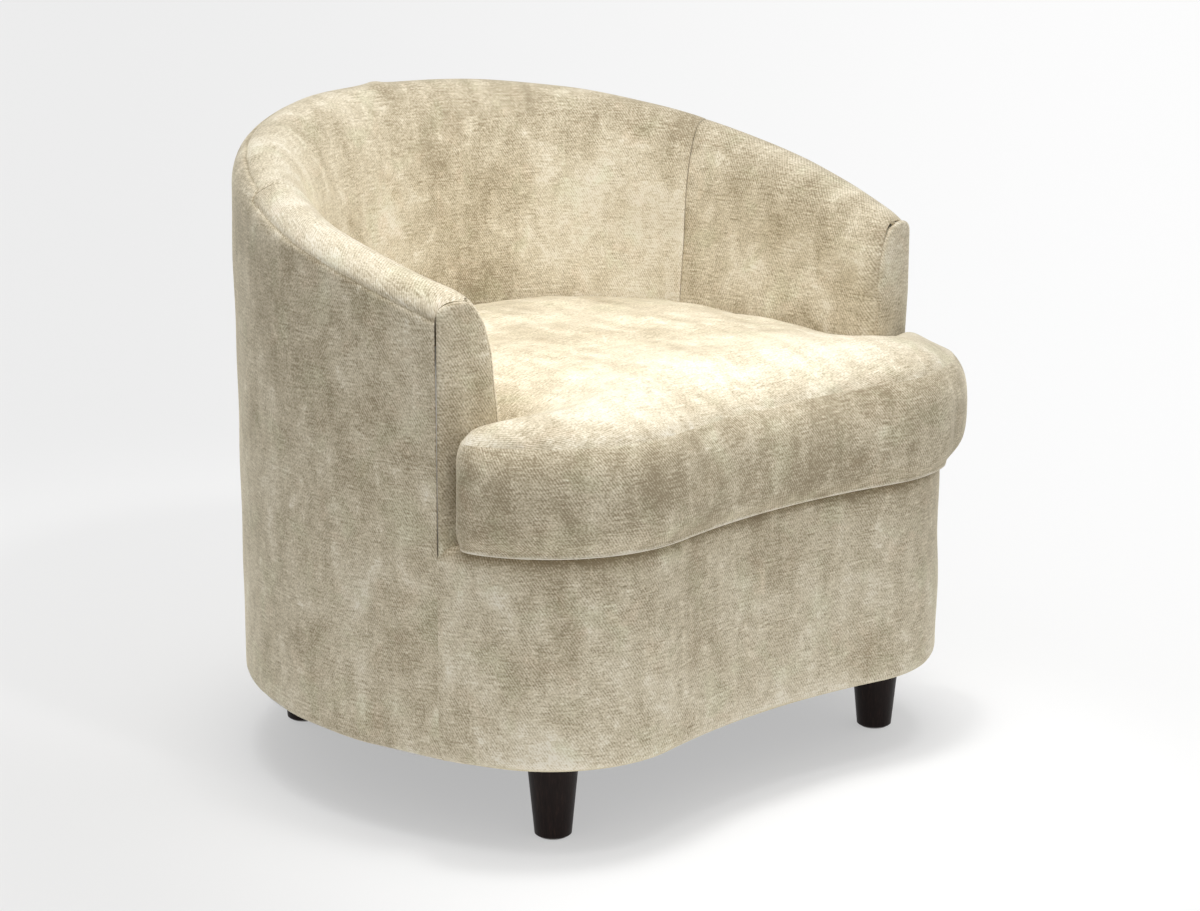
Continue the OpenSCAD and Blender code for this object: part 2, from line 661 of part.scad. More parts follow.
module dust_cover() {
  color("#1d1c1b") translate([0, 0, base_z]) linear_extrude(dust_t) difference() {
    polygon(flat(outline, frame_in));
    for (p = leg_places) translate(p) circle(d = nut_d + 2 * bolt_gap, $fn = fine);
  }
}

// T-cushion outline: front with its ears, then down the well and round the back
cushion_z = deck_z + gap;
top_seam_z = cushion_z + boxing_h;
well_x = well_r - cushion_gap;
// The ear's rear corner is tangent to the cushion's side and to its rear face, in front of the arm
ear_back = 2 * cover_t + 2 * gap + ear_gap;
across = [-cos(panel_turn), -sin(panel_turn)];
ahead = [sin(panel_turn), -cos(panel_turn)];
seam_point = [seam_station[0], seam_station[1]];
side_c = [side_cx, back_cy];
ear_from = seam_point + (ear_back + ear_r) * ahead - side_c;
ear_reach = side_r + overhang - ear_r;
ear_u = -(ear_from * across) - sqrt(pow(ear_from * across, 2) - ear_from * ear_from + pow(ear_reach, 2));
ear_c = side_c + ear_from + ear_u * across;
ear_side_a = asin((back_cy - ear_c[1]) / ear_reach);
notch_u = (seam_point[0] + ear_back * ahead[0] - well_x) / cos(panel_turn);
notch = seam_point + ear_back * ahead + notch_u * across;
cushion_half = concat(
  arc(0, back_cy, well_x, 90, 0, back_n),
  [[well_x, back_cy - seam_reach / 3, -1, 0], [well_x, back_cy - seam_reach * 2 / 3, -1, 0],
   [notch[0], notch[1], -1, -1]],
  arc(ear_c[0], ear_c[1], ear_r, 90 + panel_turn, -ear_side_a, 4),
  arc(corner_cx, back_cy - corner_up, corner_r + overhang, -corner_a, -90 - dip_a, corner_n),
  tail(arc(0, dip_cy, dip_r - overhang, 90 - dip_a, 90, dip_n, -1)));
cushion = turned(concat(cushion_half, flip(tail(turned(tail(turned(cushion_half), 1)), 1))));
// Spokes from the edge toward the middle line, so that a ring can shrink without crossing itself
spoke_front = -front_reach * 0.82;
spoke_back = 30;
function spoke_y(y) = back_cy + spoke_front
  + max(0, (y - back_cy + seam_reach) / (well_x + seam_reach)) * (spoke_back - spoke_front);
function cushion_ring(d, t, z) = [for (s = cushion)
  let (x = s[0] + s[2] * d, y = s[1] + s[3] * d) [x * (1 - t), y + (spoke_y(s[1]) - y) * t, z]];
// The crown rises over a set distance, or over most of a spoke where that is shorter
crown_ts = [0.03, 0.08, 0.16, 0.28, 0.45, 0.66, 0.85];
last_t = crown_ts[len(crown_ts) - 1];
fullness = 2.4;
function crown(t, spoke) =
  crown_h * (1 - pow(1 - min(1, t * spoke / min(crown_ramp, last_t * spoke)), fullness));
function crown_ring(e, t) = let (r = cushion_ring(drawn_in + e, t, top_seam_z - e))
  [for (i = [0:len(r) - 1]) let (s = cushion[i], spoke = norm([s[0], s[1] - spoke_y(s[1])]))
    r[i] + [0, 0, crown(t, spoke)]];
function crown_rings(e) = [for (t = concat([0], crown_ts)) crown_ring(e, t)];
// How far the boxing is drawn in at height share f
function bulge(f) = drawn_in * pow(abs(2 * f - 1), fullness);
side_h = boxing_h - 2 * cover_t;
// Height shares of the boxing's rings; the fibre topper begins at the second last
split_f = (boxing_h - topper_edge - cover_t) / side_h;
boxing_fs = [0, 1 - split_f, 0.5, split_f, 1];
function side_ring(e, f, dz = 0) = cushion_ring(e + bulge(f), 0, cushion_z + cover_t + f * side_h + dz);
module cushion_foam() {
  e = cover_t + gap;
  color("#efe4c4") cushion_loft([side_ring(e, 0, gap), side_ring(e, 1 - split_f), side_ring(e, 0.5),
    side_ring(e, split_f, -2 * gap)]);
}
module cushion_topper() {
  e = cover_t + gap;
  color("#f7f3e8") cushion_loft(concat([side_ring(e, split_f)], crown_rings(e)));
}
module cushion_top_panel() {
  color("#d8ccb8") cushion_loft(concat(turned(crown_rings(cover_t)), crown_rings(0)), len(crown_ts));
}
module cushion_boxing() {
  rings = concat([for (f = boxing_fs) side_ring(0, f)], [for (f = turned(boxing_fs)) side_ring(cover_t, f)]);
  n = len(rings);
  m = len(rings[0]);
  color("#c9bba6") polyhedron([for (r = rings) each r], [for (i = [0:n - 1], j = [0:m - 1])
    let (k = (i + 1) % n, l = (j + 1) % m) each cut(i * m + j, i * m + l, k * m + j, k * m + l, i >= n / 2)]);
}
module cushion_bottom_panel() {
  color("#a89a86") translate([0, 0, cushion_z]) linear_extrude(cover_t)
    polygon([for (q = cushion_ring(drawn_in, 0, 0)) [q[0], q[1]]]);
}

// Zip across the back of the boxing; the slider rides on the coil
zip_z = cushion_z + boxing_h / 2;
tape_r = well_x + gap;
coil_r = tape_r + tape_t;
module at_zip(a0, a1) {
  translate([0, back_cy, zip_z]) rotate([0, 0, 90 - a1])
    rotate_extrude(angle = a1 - a0, $fn = 2 * smooth) children();
}
module zip_tape() {
  color("#8f8371") {
    at_zip(-zip_a, zip_a) translate([tape_r, -tape_h / 2]) square([tape_t, tape_h]);
    at_zip(-zip_a, zip_a) translate([tape_r + tape_t / 2, -coil_h / 2]) square([coil_t + tape_t / 2, coil_h]);
  }
}
zip_rest_a = -zip_a + slider_a * 0.8;
front_r = coil_r + coil_t + gap;
module zip_slider() {
  flange = coil_h / 2 + gap;
  color("#9b978c") at_zip(zip_rest_a, zip_rest_a + slider_a) {
    translate([front_r, -flange - slider_wall]) square([slider_wall, 2 * (flange + slider_wall)]);
    for (z = [-flange - slider_wall, flange])
      translate([coil_r + gap, z]) square([front_r - coil_r - gap + slider_wall, slider_wall]);
  }
}
module zip_pull() {
  color("#9b978c") at_zip(zip_rest_a + slider_a / 4, zip_rest_a + slider_a * 3 / 4)
    translate([front_r + slider_wall, -pull_l]) square([slider_wall, pull_l]);
}

leg_front_left();
leg_front_right();
leg_back_left();
leg_back_right();
leg_glides();
hanger_bolts();
leg_nuts();
bottom_ring();
seat_ring();
lower_posts();
upper_posts();
front_board();
top_rail();
tack_rail();
arm_board_left();
arm_board_right();
frame_screws();
seat_springs();
spring_clips();
webbing_straps();
deck_felt();
deck_foam();
deck_cover();
inside_foam();
rim_roll();
front_padding();
arm_pad_left();
arm_pad_right();
outside_wadding();
outside_board();
inside_back_cover();
inside_arm_cover_left();
inside_arm_cover_right();
outside_back_cover();
outside_arm_cover_left();
outside_arm_cover_right();
arm_front_cover_left();
arm_front_cover_right();
front_base_cover();
dust_cover();
cushion_foam();
cushion_topper();
cushion_top_panel();
cushion_boxing();
cushion_bottom_panel();
zip_tape();
zip_slider();
zip_pull();
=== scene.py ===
import math
from functools import partialmethod

import bpy
import numpy as np
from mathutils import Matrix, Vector
from mathutils.geometry import delaunay_2d_cdt


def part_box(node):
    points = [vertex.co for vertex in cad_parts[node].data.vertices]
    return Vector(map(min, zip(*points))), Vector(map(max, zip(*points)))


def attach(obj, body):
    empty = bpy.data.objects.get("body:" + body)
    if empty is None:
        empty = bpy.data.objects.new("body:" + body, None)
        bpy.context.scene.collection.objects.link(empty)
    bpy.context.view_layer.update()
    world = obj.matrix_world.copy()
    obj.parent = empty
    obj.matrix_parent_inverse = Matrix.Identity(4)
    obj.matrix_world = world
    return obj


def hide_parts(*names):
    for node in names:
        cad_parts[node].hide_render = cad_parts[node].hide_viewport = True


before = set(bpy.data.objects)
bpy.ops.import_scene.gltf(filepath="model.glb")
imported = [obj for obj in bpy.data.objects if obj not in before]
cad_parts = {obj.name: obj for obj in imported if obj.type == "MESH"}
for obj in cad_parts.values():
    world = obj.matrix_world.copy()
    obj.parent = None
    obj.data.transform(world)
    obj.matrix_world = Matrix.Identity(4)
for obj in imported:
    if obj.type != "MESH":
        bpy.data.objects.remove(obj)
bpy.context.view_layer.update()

# Studio: a wide level floor of pale grey, a white dome that is brightest overhead, two soft lamps over
# the seat, and one camera. The floor is a shade darker on the camera's left; part of its light is a glow,
# which fills the shade in front of the chair. Nothing here is part of the chair.


class Value:
    """An output socket; an expression on it adds the Math nodes that work it out."""

    def __init__(self, graph, socket):
        self.graph, self.socket = graph, socket

    def math(self, operation, *others):
        numbers = dict(enumerate((self, *others)))
        return self.graph.node("Math", {"operation": operation}, numbers)

    __add__ = __radd__ = partialmethod(math, "ADD")
    __sub__ = partialmethod(math, "SUBTRACT")
    __mul__ = __rmul__ = partialmethod(math, "MULTIPLY")
    __truediv__ = partialmethod(math, "DIVIDE")
    __pow__ = partialmethod(math, "POWER")

    def __rsub__(self, other):
        return self.graph.node("Math", {"operation": "SUBTRACT"}, {0: other, 1: self})

    def between(self, low, high, to_low=0.0, to_high=1.0):
        """This value carried smoothly from the range low..high to to_low..to_high, and held at its ends."""
        settings = {"interpolation_type": "SMOOTHSTEP", "clamp": True}
        return self.graph.node("MapRange", settings, {0: self, 1: low, 2: high, 3: to_low, 4: to_high})


class Graph:
    """The node tree of a material or of the world."""

    def __init__(self, owner):
        owner.use_nodes = True
        self.owner, self.tree = owner, owner.node_tree
        self.tree.nodes.clear()

    def node(self, kind, settings=None, sockets=None, output=0):
        """Adds a node: its settings are set first, then its sockets' values or links; gives one output."""
        made = self.tree.nodes.new("ShaderNode" + kind)
        for key, value in (settings or {}).items():
            setattr(made, key, value)
        for key, value in (sockets or {}).items():
            if isinstance(value, Value):
                self.tree.links.new(value.socket, made.inputs[key])
            else:
                made.inputs[key].default_value = value
        return Value(self, made.outputs[output])

    def mix(self, factor, a, b, blend="MIX"):
        """Colour a turned toward colour b by a factor."""
        colours = {k: (*v, 1) if isinstance(v, tuple) else v for k, v in ((6, a), (7, b))}
        return self.node("Mix", {"data_type": "RGBA", "blend_type": blend}, {0: factor, **colours}, 2)

    def ramp(self, tone, *stops):
        """The colour that goes with a tone, between stops of a tone and its colour."""
        made = self.node("ValToRGB", {}, {0: tone})
        elements = made.socket.node.color_ramp.elements
        while len(elements) < len(stops):
            elements.new(0.5)
        for element, (place, colour) in zip(elements, stops):
            element.position, element.color = place, (*colour, 1)
        return made

    def stretched(self, vector, amounts):
        """A place with each coordinate multiplied by its own amount."""
        return self.node("VectorMath", {"operation": "MULTIPLY"}, {0: vector, 1: amounts})

    def noise(self, vector, per_metre, detail=2.0, roughness=0.5, distortion=0.0):
        """Soft noise with that many waves to the metre, about 0.5."""
        sockets = {"Vector": vector, "Scale": per_metre, "Detail": detail, "Roughness": roughness}
        return self.node("TexNoise", {}, {**sockets, "Distortion": distortion})

    def part(self, vector, axis):
        """One coordinate of a place."""
        return self.node("SeparateXYZ", {}, {0: vector}, axis)

    def place(self):
        """The place on a piece in its own frame, in metres."""
        return self.node("TexCoord", output=3)

    def cloth(self):
        """The place on a piece's own cloth, in metres."""
        return self.node("UVMap", {"uv_map": "cloth"})

    def wave(self, place, length):
        """A sine wave of that length along a coordinate."""
        return (place * (2 * math.pi / length)).math("SINE")

    def bump(self, strength, distance, height):
        """The normal of a relief of that depth."""
        return self.node("Bump", {}, {"Strength": strength, "Distance": distance, "Height": height})

    def seen(self):
        """1 on the rays that only look: from the camera, in a reflection, or through something clear."""
        camera_ray, mirrored, through = (self.node("LightPath", output=k) for k in (0, 3, 6))
        return camera_ray.math("MAXIMUM", mirrored).math("MAXIMUM", through)

    def finish(self, surface):
        """Links the last shader to the tree's output."""
        kind = "OutputWorld" if isinstance(self.owner, bpy.types.World) else "OutputMaterial"
        made = self.tree.nodes.new("ShaderNode" + kind)
        self.tree.links.new(surface.socket, made.inputs["Surface"])
        return self.owner

    def surface(self, sockets):
        """Ends a material in one Principled shader with these values and links."""
        return self.finish(self.node("BsdfPrincipled", {}, sockets))


def new_look(name):
    """An empty material by that name."""
    return Graph(bpy.data.materials.new(name))


def show(name, points, faces, uv=None, smooth=True):
    """An object with one mesh through the points; uv holds one place on the cloth for each point. Open
    edges are kept sharp, so that a cloth's cut edge doesn't shade its face."""
    mesh = bpy.data.meshes.new(name)
    mesh.from_pydata(points.reshape(-1, 3).tolist(), [], [f.tolist() for f in faces])
    mesh.polygons.foreach_set("use_smooth", [smooth] * len(mesh.polygons))
    corner_edge = np.empty(len(mesh.loops), np.int32)
    mesh.loops.foreach_get("edge_index", corner_edge)
    mesh.edges.foreach_set("use_edge_sharp", np.bincount(corner_edge, minlength=len(mesh.edges)) == 1)
    if uv is not None:
        corner_point = np.empty(len(mesh.loops), np.int32)
        mesh.loops.foreach_get("vertex_index", corner_point)
        layer = mesh.uv_layers.new(name="cloth")
        layer.data.foreach_set("uv", uv.reshape(-1, 2)[corner_point].ravel().astype(np.float32))
    mesh.update()
    piece = bpy.data.objects.new(name, mesh)
    bpy.context.collection.objects.link(piece)
    return piece


scene = bpy.context.scene
scene.view_settings.view_transform = "Standard"

CAMERA_AT = np.array((-2.2899, -2.4496, 1.1662))
CAMERA_TURN = math.radians(-43.73)
camera = bpy.data.objects.new("camera", bpy.data.cameras.new("camera"))
camera.location = CAMERA_AT
camera.rotation_euler = (math.radians(75.70), 0, CAMERA_TURN)
camera.data.lens, camera.data.sensor_width = 93.82, 36
bpy.context.collection.objects.link(camera)
scene.camera = camera

FLOOR_R, FLOOR_SIDES = 40.0, 96
floor_turns = np.linspace(0, 2 * math.pi, FLOOR_SIDES + 1)[:-1]
floor_rim = np.stack((FLOOR_R * np.cos(floor_turns), FLOOR_R * np.sin(floor_turns), 0 * floor_turns), 1)
floor = show("floor", floor_rim, [np.arange(FLOOR_SIDES)], smooth=False)
floor_look = new_look("pale_floor")
floor_place = floor_look.place()
ahead_x, ahead_y = -math.sin(CAMERA_TURN), math.cos(CAMERA_TURN)
from_camera = floor_look.node("VectorMath", {"operation": "SUBTRACT"}, {0: floor_place, 1: tuple(CAMERA_AT)})
rightward, forward = (
    floor_look.node("VectorMath", {"operation": "DOT_PRODUCT"}, {0: from_camera, 1: direction}, 1)
    for direction in ((ahead_y, -ahead_x, 0), (ahead_x, ahead_y, 0)))
across_view = rightward / forward.math("MAXIMUM", 1.0)
floor_shade = across_view.between(-0.19, 0.19)
floor_colour = floor_look.mix(floor_shade, (0.735, 0.735, 0.735), (0.915, 0.915, 0.915))
floor_seen = floor_look.seen()
floor_lit = floor_look.node("BsdfPrincipled", {}, {
    "Base Color": floor_colour, "Roughness": 0.9, "Specular IOR Level": 0.0})
FILL_AT, FILL_SPREAD, FILL_POWER, GLOW_SHARE = (-0.35, -0.60, 0), 0.85, 1.40, 0.46
from_front = floor_look.node("VectorMath", {"operation": "DISTANCE"}, {0: floor_place, 1: FILL_AT}, 1)
floor_fill = (from_front * from_front / -FILL_SPREAD).math("EXPONENT") * FILL_POWER
floor_glow = floor_look.node("Emission", {}, {
    "Color": floor_look.mix(floor_shade, (0.93, 0.93, 0.93), (1, 1, 1)),
    "Strength": floor_seen + (1 - floor_seen) * floor_fill})
floor.data.materials.append(floor_look.finish(floor_look.node(
    "MixShader", {}, {0: GLOW_SHARE, 1: floor_lit, 2: floor_glow})))

world = bpy.data.worlds.new("dome")
scene.world = world
dome = Graph(world)
upward = dome.part(dome.node("TexCoord"), 2)
CAP_START, CAP_POWER, DOME_POWER, DOME_SEEN = 0.92, 9.0, 0.58, 0.34
overhead = ((upward - CAP_START) / (1 - CAP_START)).math("MAXIMUM", 0.0) ** 2.0
dome_strength = DOME_POWER + dome.seen() * DOME_SEEN + overhead * CAP_POWER
dome.finish(dome.node("Background", {}, {"Color": (1, 1, 1, 1), "Strength": dome_strength}))


def overhead_lamp(name, place, aim, cone, watts):
    """A soft round lamp over the seat, whose light fades out toward the edge of its cone."""
    lamp = bpy.data.objects.new(name, bpy.data.lights.new(name, "SPOT"))
    lamp.data.energy, lamp.data.shadow_soft_size = watts, 0.15
    lamp.data.spot_size, lamp.data.spot_blend = math.radians(cone), 1.0
    lamp.location = place
    lamp.rotation_euler = (Vector(aim) - Vector(place)).to_track_quat("-Z", "Y").to_euler()
    lamp.visible_camera = False
    bpy.context.collection.objects.link(lamp)


overhead_lamp("seat_lamp", (-0.06, -0.32, 2.90), (-0.06, -0.29, 0.46), 24, 122)
overhead_lamp("back_lamp", (-0.24, -1.40, 2.20), (0, 0.12, 0.49), 25, 112)

# Frame: plywood rings, rails and front board with beech posts, glued and screwed. The rings and the
# top rail show their glued veneers at their cut edges; the posts and arm boards are planed beech.


def dress(material, *nodes):
    """Gives CAD nodes a finish in the place of their own."""
    for node in nodes:
        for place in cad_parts[node].material_slots:
            place.material = material


def wood(name, light, dark, along, veneers=0.0):
    """Wood whose grain is noise drawn out along one axis, over soft bands of growth. Where veneers are
    asked for, edges show layers of that thickness, every other one darker."""
    look = new_look(name)
    place = look.place()
    fibre = look.noise(look.stretched(place, along), 900, 4, 0.6)
    bands = look.noise(look.stretched(place, along), 160, 3, 0.5, 0.6)
    tone = fibre * 0.45 + bands * 0.55
    if veneers:
        layer = (look.part(place, 2) / veneers).math("FRACT").between(0.44, 0.56)
        edge = 1 - look.part(look.node("NewGeometry", output=1), 2).math("ABSOLUTE").between(0.3, 0.6)
        tone = tone - layer * edge * 0.28
    colour = look.ramp(tone, (0.28, dark), (0.68, light))
    return look.surface({
        "Base Color": colour, "Roughness": 0.55, "Normal": look.bump(0.25, 0.0004, fibre)})


ALONG_X, ALONG_Z = (0.05, 1, 1), (1, 1, 0.05)
birch_ply = wood("birch_ply", (0.62, 0.46, 0.28), (0.42, 0.28, 0.15), ALONG_X, veneers=0.0036)
bent_ply = wood("bent_ply", (0.58, 0.43, 0.26), (0.40, 0.27, 0.15), ALONG_X)
beech = wood("beech", (0.56, 0.36, 0.20), (0.38, 0.22, 0.11), ALONG_Z)
dress(birch_ply, "bottom_ring", "seat_ring", "top_rail")
dress(bent_ply, "front_board", "tack_rail")
dress(beech, "lower_posts", "upper_posts", "arm_board_left", "arm_board_right")

# Steel parts: screws, hanger bolts, zinc-plated nuts, drawn spring wire and pressed clips. The wire is
# oiled and darker than the plated parts.


def steel(name, tint, roughness):
    """Plain steel with fine drawn scratches and a slight unevenness of its plating."""
    look = new_look(name)
    place = look.place()
    patches = look.noise(place, 60, 3, 0.6)
    scratches = look.noise(look.stretched(place, (1, 1, 0.1)), 1500, 2, 0.6)
    dull = tuple(0.72 * part for part in tint)
    return look.surface({
        "Base Color": look.mix(patches.between(0.35, 0.7), tint, dull), "Metallic": 1.0,
        "Roughness": patches * 0.2 + scratches * 0.15 + (roughness - 0.17),
        "Normal": look.bump(0.15, 0.0002, scratches)})


dress(steel("zinc_plate", (0.62, 0.62, 0.58), 0.38), "hanger_bolts", "leg_nuts", "spring_clips")
dress(steel("screw_steel", (0.50, 0.48, 0.44), 0.42), "frame_screws")
dress(steel("spring_wire", (0.30, 0.31, 0.32), 0.36), "seat_springs")
dress(steel("zip_metal", (0.52, 0.47, 0.38), 0.34), "zip_slider", "zip_pull")

# Legs: four turned, tapered legs of solid wood with an espresso stain, under a thin satin lacquer. A
# pressed steel glide is nailed under each.
espresso = new_look("espresso_lacquer")
leg_place = espresso.place()
leg_fibre = espresso.noise(espresso.stretched(leg_place, (1, 1, 0.035)), 1100, 4, 0.65)
leg_bands = espresso.noise(espresso.stretched(leg_place, (1, 1, 0.06)), 260, 3, 0.55, 0.8)
leg_tone = leg_fibre * 0.6 + leg_bands * 0.4
leg_colour = espresso.ramp(leg_tone, (0.30, (0.0052, 0.0026, 0.0022)), (0.52, (0.0115, 0.0060, 0.0050)),
                           (0.72, (0.030, 0.015, 0.0115)))
leg_rub = espresso.noise(leg_place, 45, 3, 0.6)
espresso.surface({
    "Base Color": leg_colour, "Roughness": leg_rub * 0.16 + 0.34, "Specular IOR Level": 0.12,
    "Coat Weight": 0.04, "Coat Roughness": 0.22, "Normal": espresso.bump(0.35, 0.0003, leg_fibre)})
dress(espresso.owner, "leg_front_left", "leg_front_right", "leg_back_left", "leg_back_right")
dress(steel("glide_steel", (0.30, 0.29, 0.28), 0.45), "leg_glides")

# Webbing straps: black elastic webbing, tacked to the tack rail and drawn up to the top rail, where
# they carry the foam of the back and arms. Each is a flat woven band.
BACK_R, BACK_Y = 0.375, -0.02975
SIDE_R, SIDE_REACH = 0.510, 0.158
SIDE_X = BACK_R - SIDE_R
WELL_R = 0.268
WALL = BACK_R - WELL_R
QUARTER = BACK_R * math.pi / 2
SEAM_TURN = math.asin(SIDE_REACH / SIDE_R)
PANEL_TURN = math.radians(11)
ARM_END = QUARTER + SIDE_R * SEAM_TURN
BASE_Z, DECK_Z, FELT_Z = 0.089, 0.3137, 0.2827
CREST_IN, SEAM_DROP, ROLL_W, ROLL_H, FACE_LEAN = 0.036, 0.020, 0.082, 0.085, 0.005
FACE_TOP = DECK_Z + 0.126
RIM_SLOPE, RIM_FRONT_Z = 0.2645, 0.565
RIM_FRONT_Y = BACK_Y - SIDE_REACH - CREST_IN * math.sin(PANEL_TURN)
CLOTH_T, GAP = 0.0015, 0.0003
# How much broader and lower the rim's shoulder and roll are round the back than along the arms.
BACK_BROADER, BACK_LOWER, BACK_ROLL_WIDER, BACK_ROLL_LOWER = 0.005, 0.024, 0.012, 0.035
BACK_ENDS, BACK_BLEND = QUARTER + 0.02, 0.14
# The rim's sags: where along the plan, how far they spread, and how deep; below 0 it stands higher.
SAGS = ((0, 0.10, 0.0040), (-0.20, 0.09, 0.0032), (0.39, 0.14, -0.0048))
PEAK, PEAK_SPREAD, RIM_BAND = 0.0045, 0.016, 0.06


def bell(distance, width):
    """1 at no distance, falling off softly to nothing over about twice the width."""
    return np.exp(-(distance / width) ** 2)


def rim_height(y):
    """Height of the rim's crest above the floor: a plane that climbs toward the back."""
    return RIM_FRONT_Z + RIM_SLOPE * (y - RIM_FRONT_Y)


def tub_plan(along):
    """Plan of the tub's outside, at distances along it from the middle of the back: a half circle, then
    a wider arc down each arm. Gives the edge's place, the inward direction, which turns along the arms
    to lie in the arm fronts, and the wall's depth."""
    side, run = np.sign(along), np.abs(along)
    arm = np.maximum(run - QUARTER, 0) / SIDE_R
    turn = PANEL_TURN * arm / SEAM_TURN
    back = np.minimum(run, QUARTER) / BACK_R
    on_arm = run > QUARTER
    x = np.where(on_arm, SIDE_X + SIDE_R * np.cos(arm), BACK_R * np.sin(back))
    y = BACK_Y + np.where(on_arm, -SIDE_R * np.sin(arm), BACK_R * np.cos(back))
    inward = np.stack((np.where(on_arm, -np.cos(turn), -np.sin(back)) * np.where(side < 0, -1, 1),
                       np.where(on_arm, -np.sin(turn), -np.cos(back))), -1)
    depth = np.where(on_arm, (x - WELL_R) / np.cos(turn), WALL)
    return np.stack((x * np.where(side < 0, -1, 1), y), -1), inward, depth


def set_in(along, depth, height, from_rim):
    """Points in the wall: so far in from the outside face, at heights counted from the floor or, where
    from_rim is 1, from the rim above that point. Rows follow the plan and columns the profile."""
    edge, inward, _ = tub_plan(along)
    flat = edge[:, None] + inward[:, None] * depth[..., None]
    return upright(flat, height + from_rim * rim_height(flat[..., 1]))


def shoulder(along):
    """The rim's outer quarter at distances along the plan: how far in its crest lies, and how far it
    drops, as columns. It is broad and low round the back, and tighter along the arms."""
    back = np.clip((BACK_ENDS - np.abs(along[:, None])) / BACK_BLEND, 0, 1)
    back = back * back * (3 - 2 * back)
    return CREST_IN + BACK_BROADER * back, SEAM_DROP + BACK_LOWER * back


def uneven(grid, along):
    """The rim's own unevenness: it sags a little at the middle of the back, round one small peak, and
    stands a little lower on the back's left than on its right."""
    by_rim = np.clip((grid[..., 2] - rim_height(grid[..., 1]) + RIM_BAND) / RIM_BAND, 0, 1)
    sag = sum(depth * bell(along - place, width) for place, width, depth in SAGS)
    sag = sag - PEAK * np.exp(-np.abs(along) / PEAK_SPREAD)
    grid[..., 2] -= sag[:, None] * by_rim
    return grid


def quads(rows, columns, around=False):
    """Corners of the faces of a grid of points, in an order that faces along rows x columns. Around
    joins the last column to the first."""
    i, j = np.meshgrid(np.arange(rows - 1), np.arange(columns if around else columns - 1), indexing="ij")
    k = (j + 1) % columns
    below, above = i * columns, (i + 1) * columns
    return np.stack((below + j, above + j, above + k, below + k), -1).reshape(-1, 4)


def spread(*parts):
    """Places from their coordinates, each spread over the others' rows and columns."""
    return np.stack(np.broadcast_arrays(*parts), -1)


def upright(flat, heights):
    """Points from places in plan and heights, each spread over the other's rows and columns."""
    return spread(flat[..., 0], flat[..., 1], heights)


def bar(name, grid, material, uv=None):
    """A closed bar through the rows of a grid: each row is one section and the ends are capped."""
    rows, columns = grid.shape[:2]
    faces = list(quads(rows, columns, around=True))
    caps = [np.arange(columns)[::-1], (rows - 1) * columns + np.arange(columns)]
    centre = grid[0].mean(0)
    ahead = grid[1].mean(0) - centre
    spin = np.cross(grid[0] - centre, np.roll(grid[0], -1, 0) - centre).sum(0)
    if np.dot(spin, ahead) > 0:
        faces, caps = [f[::-1] for f in faces], [c[::-1] for c in caps]
    piece = show(name, grid, faces + caps, uv)
    piece.data.materials.append(material)
    return piece


def joined(name, pieces):
    """Several pieces made one."""
    with bpy.context.temp_override(active_object=pieces[0], selected_editable_objects=pieces):
        bpy.ops.object.join()
    pieces[0].name = pieces[0].data.name = name
    return pieces[0]


def stands_for(piece, body, slot, fill, *nodes):
    """Ties a soft piece to its body and hides the CAD nodes that it stands for. The slot it is given is not
    used."""
    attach(piece, body)
    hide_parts(*nodes)


def fibrous(name, light, dark, per_metre, stretch, roughness=0.95, bump_mm=0.6):
    """A soft material of fibres or pores: two sizes of noise, drawn out along some axes."""
    look = new_look(name)
    place = look.place()
    fine = look.noise(look.stretched(place, stretch), per_metre, 4, 0.7)
    broad = look.noise(place, per_metre / 18, 3, 0.6)
    tone = fine * 0.65 + broad * 0.35
    colour = look.ramp(tone, (0.32, dark), (0.66, light))
    return look.surface({
        "Base Color": colour, "Roughness": roughness, "Specular IOR Level": 0.2, "Sheen Weight": 0.1,
        "Normal": look.bump(0.7, bump_mm / 1000, fine)})


STRAP_W, STRAP_T, STRAP_Z = 0.050, 0.0015, 0.3174
RAIL_DROP = 0.050
webbing = new_look("webbing")
strap_place = webbing.cloth()
strap_u, strap_v = webbing.part(strap_place, 0), webbing.part(strap_place, 1)
strap_weave = webbing.wave(strap_v, 0.0022) * webbing.wave(strap_u, 0.0017)
from_middle = (strap_u - STRAP_W / 2).math("ABSOLUTE")
strap_stripe = (from_middle - 0.014).math("ABSOLUTE").between(0.0016, 0.0024, 1, 0)
strap_tone = strap_weave * 0.25 + 0.5 + (webbing.noise(strap_place, 900, 3, 0.6) - 0.5) * 0.6
strap_black = webbing.mix(strap_tone, (0.012, 0.012, 0.012), (0.045, 0.043, 0.040))
webbing.surface({
    "Base Color": webbing.mix(strap_stripe, strap_black, (0.30, 0.27, 0.2)), "Roughness": 0.8,
    "Normal": webbing.bump(0.8, 0.0004, strap_weave)})
ARM_STRAP = QUARTER + math.radians(6) * SIDE_R
strap_runs = [-ARM_STRAP, *(math.radians(turn) * BACK_R for turn in range(-80, 81, 20)), ARM_STRAP]
straps = []
strap_depth = BACK_Y + BACK_R - float(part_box("webbing_straps")[1].y)
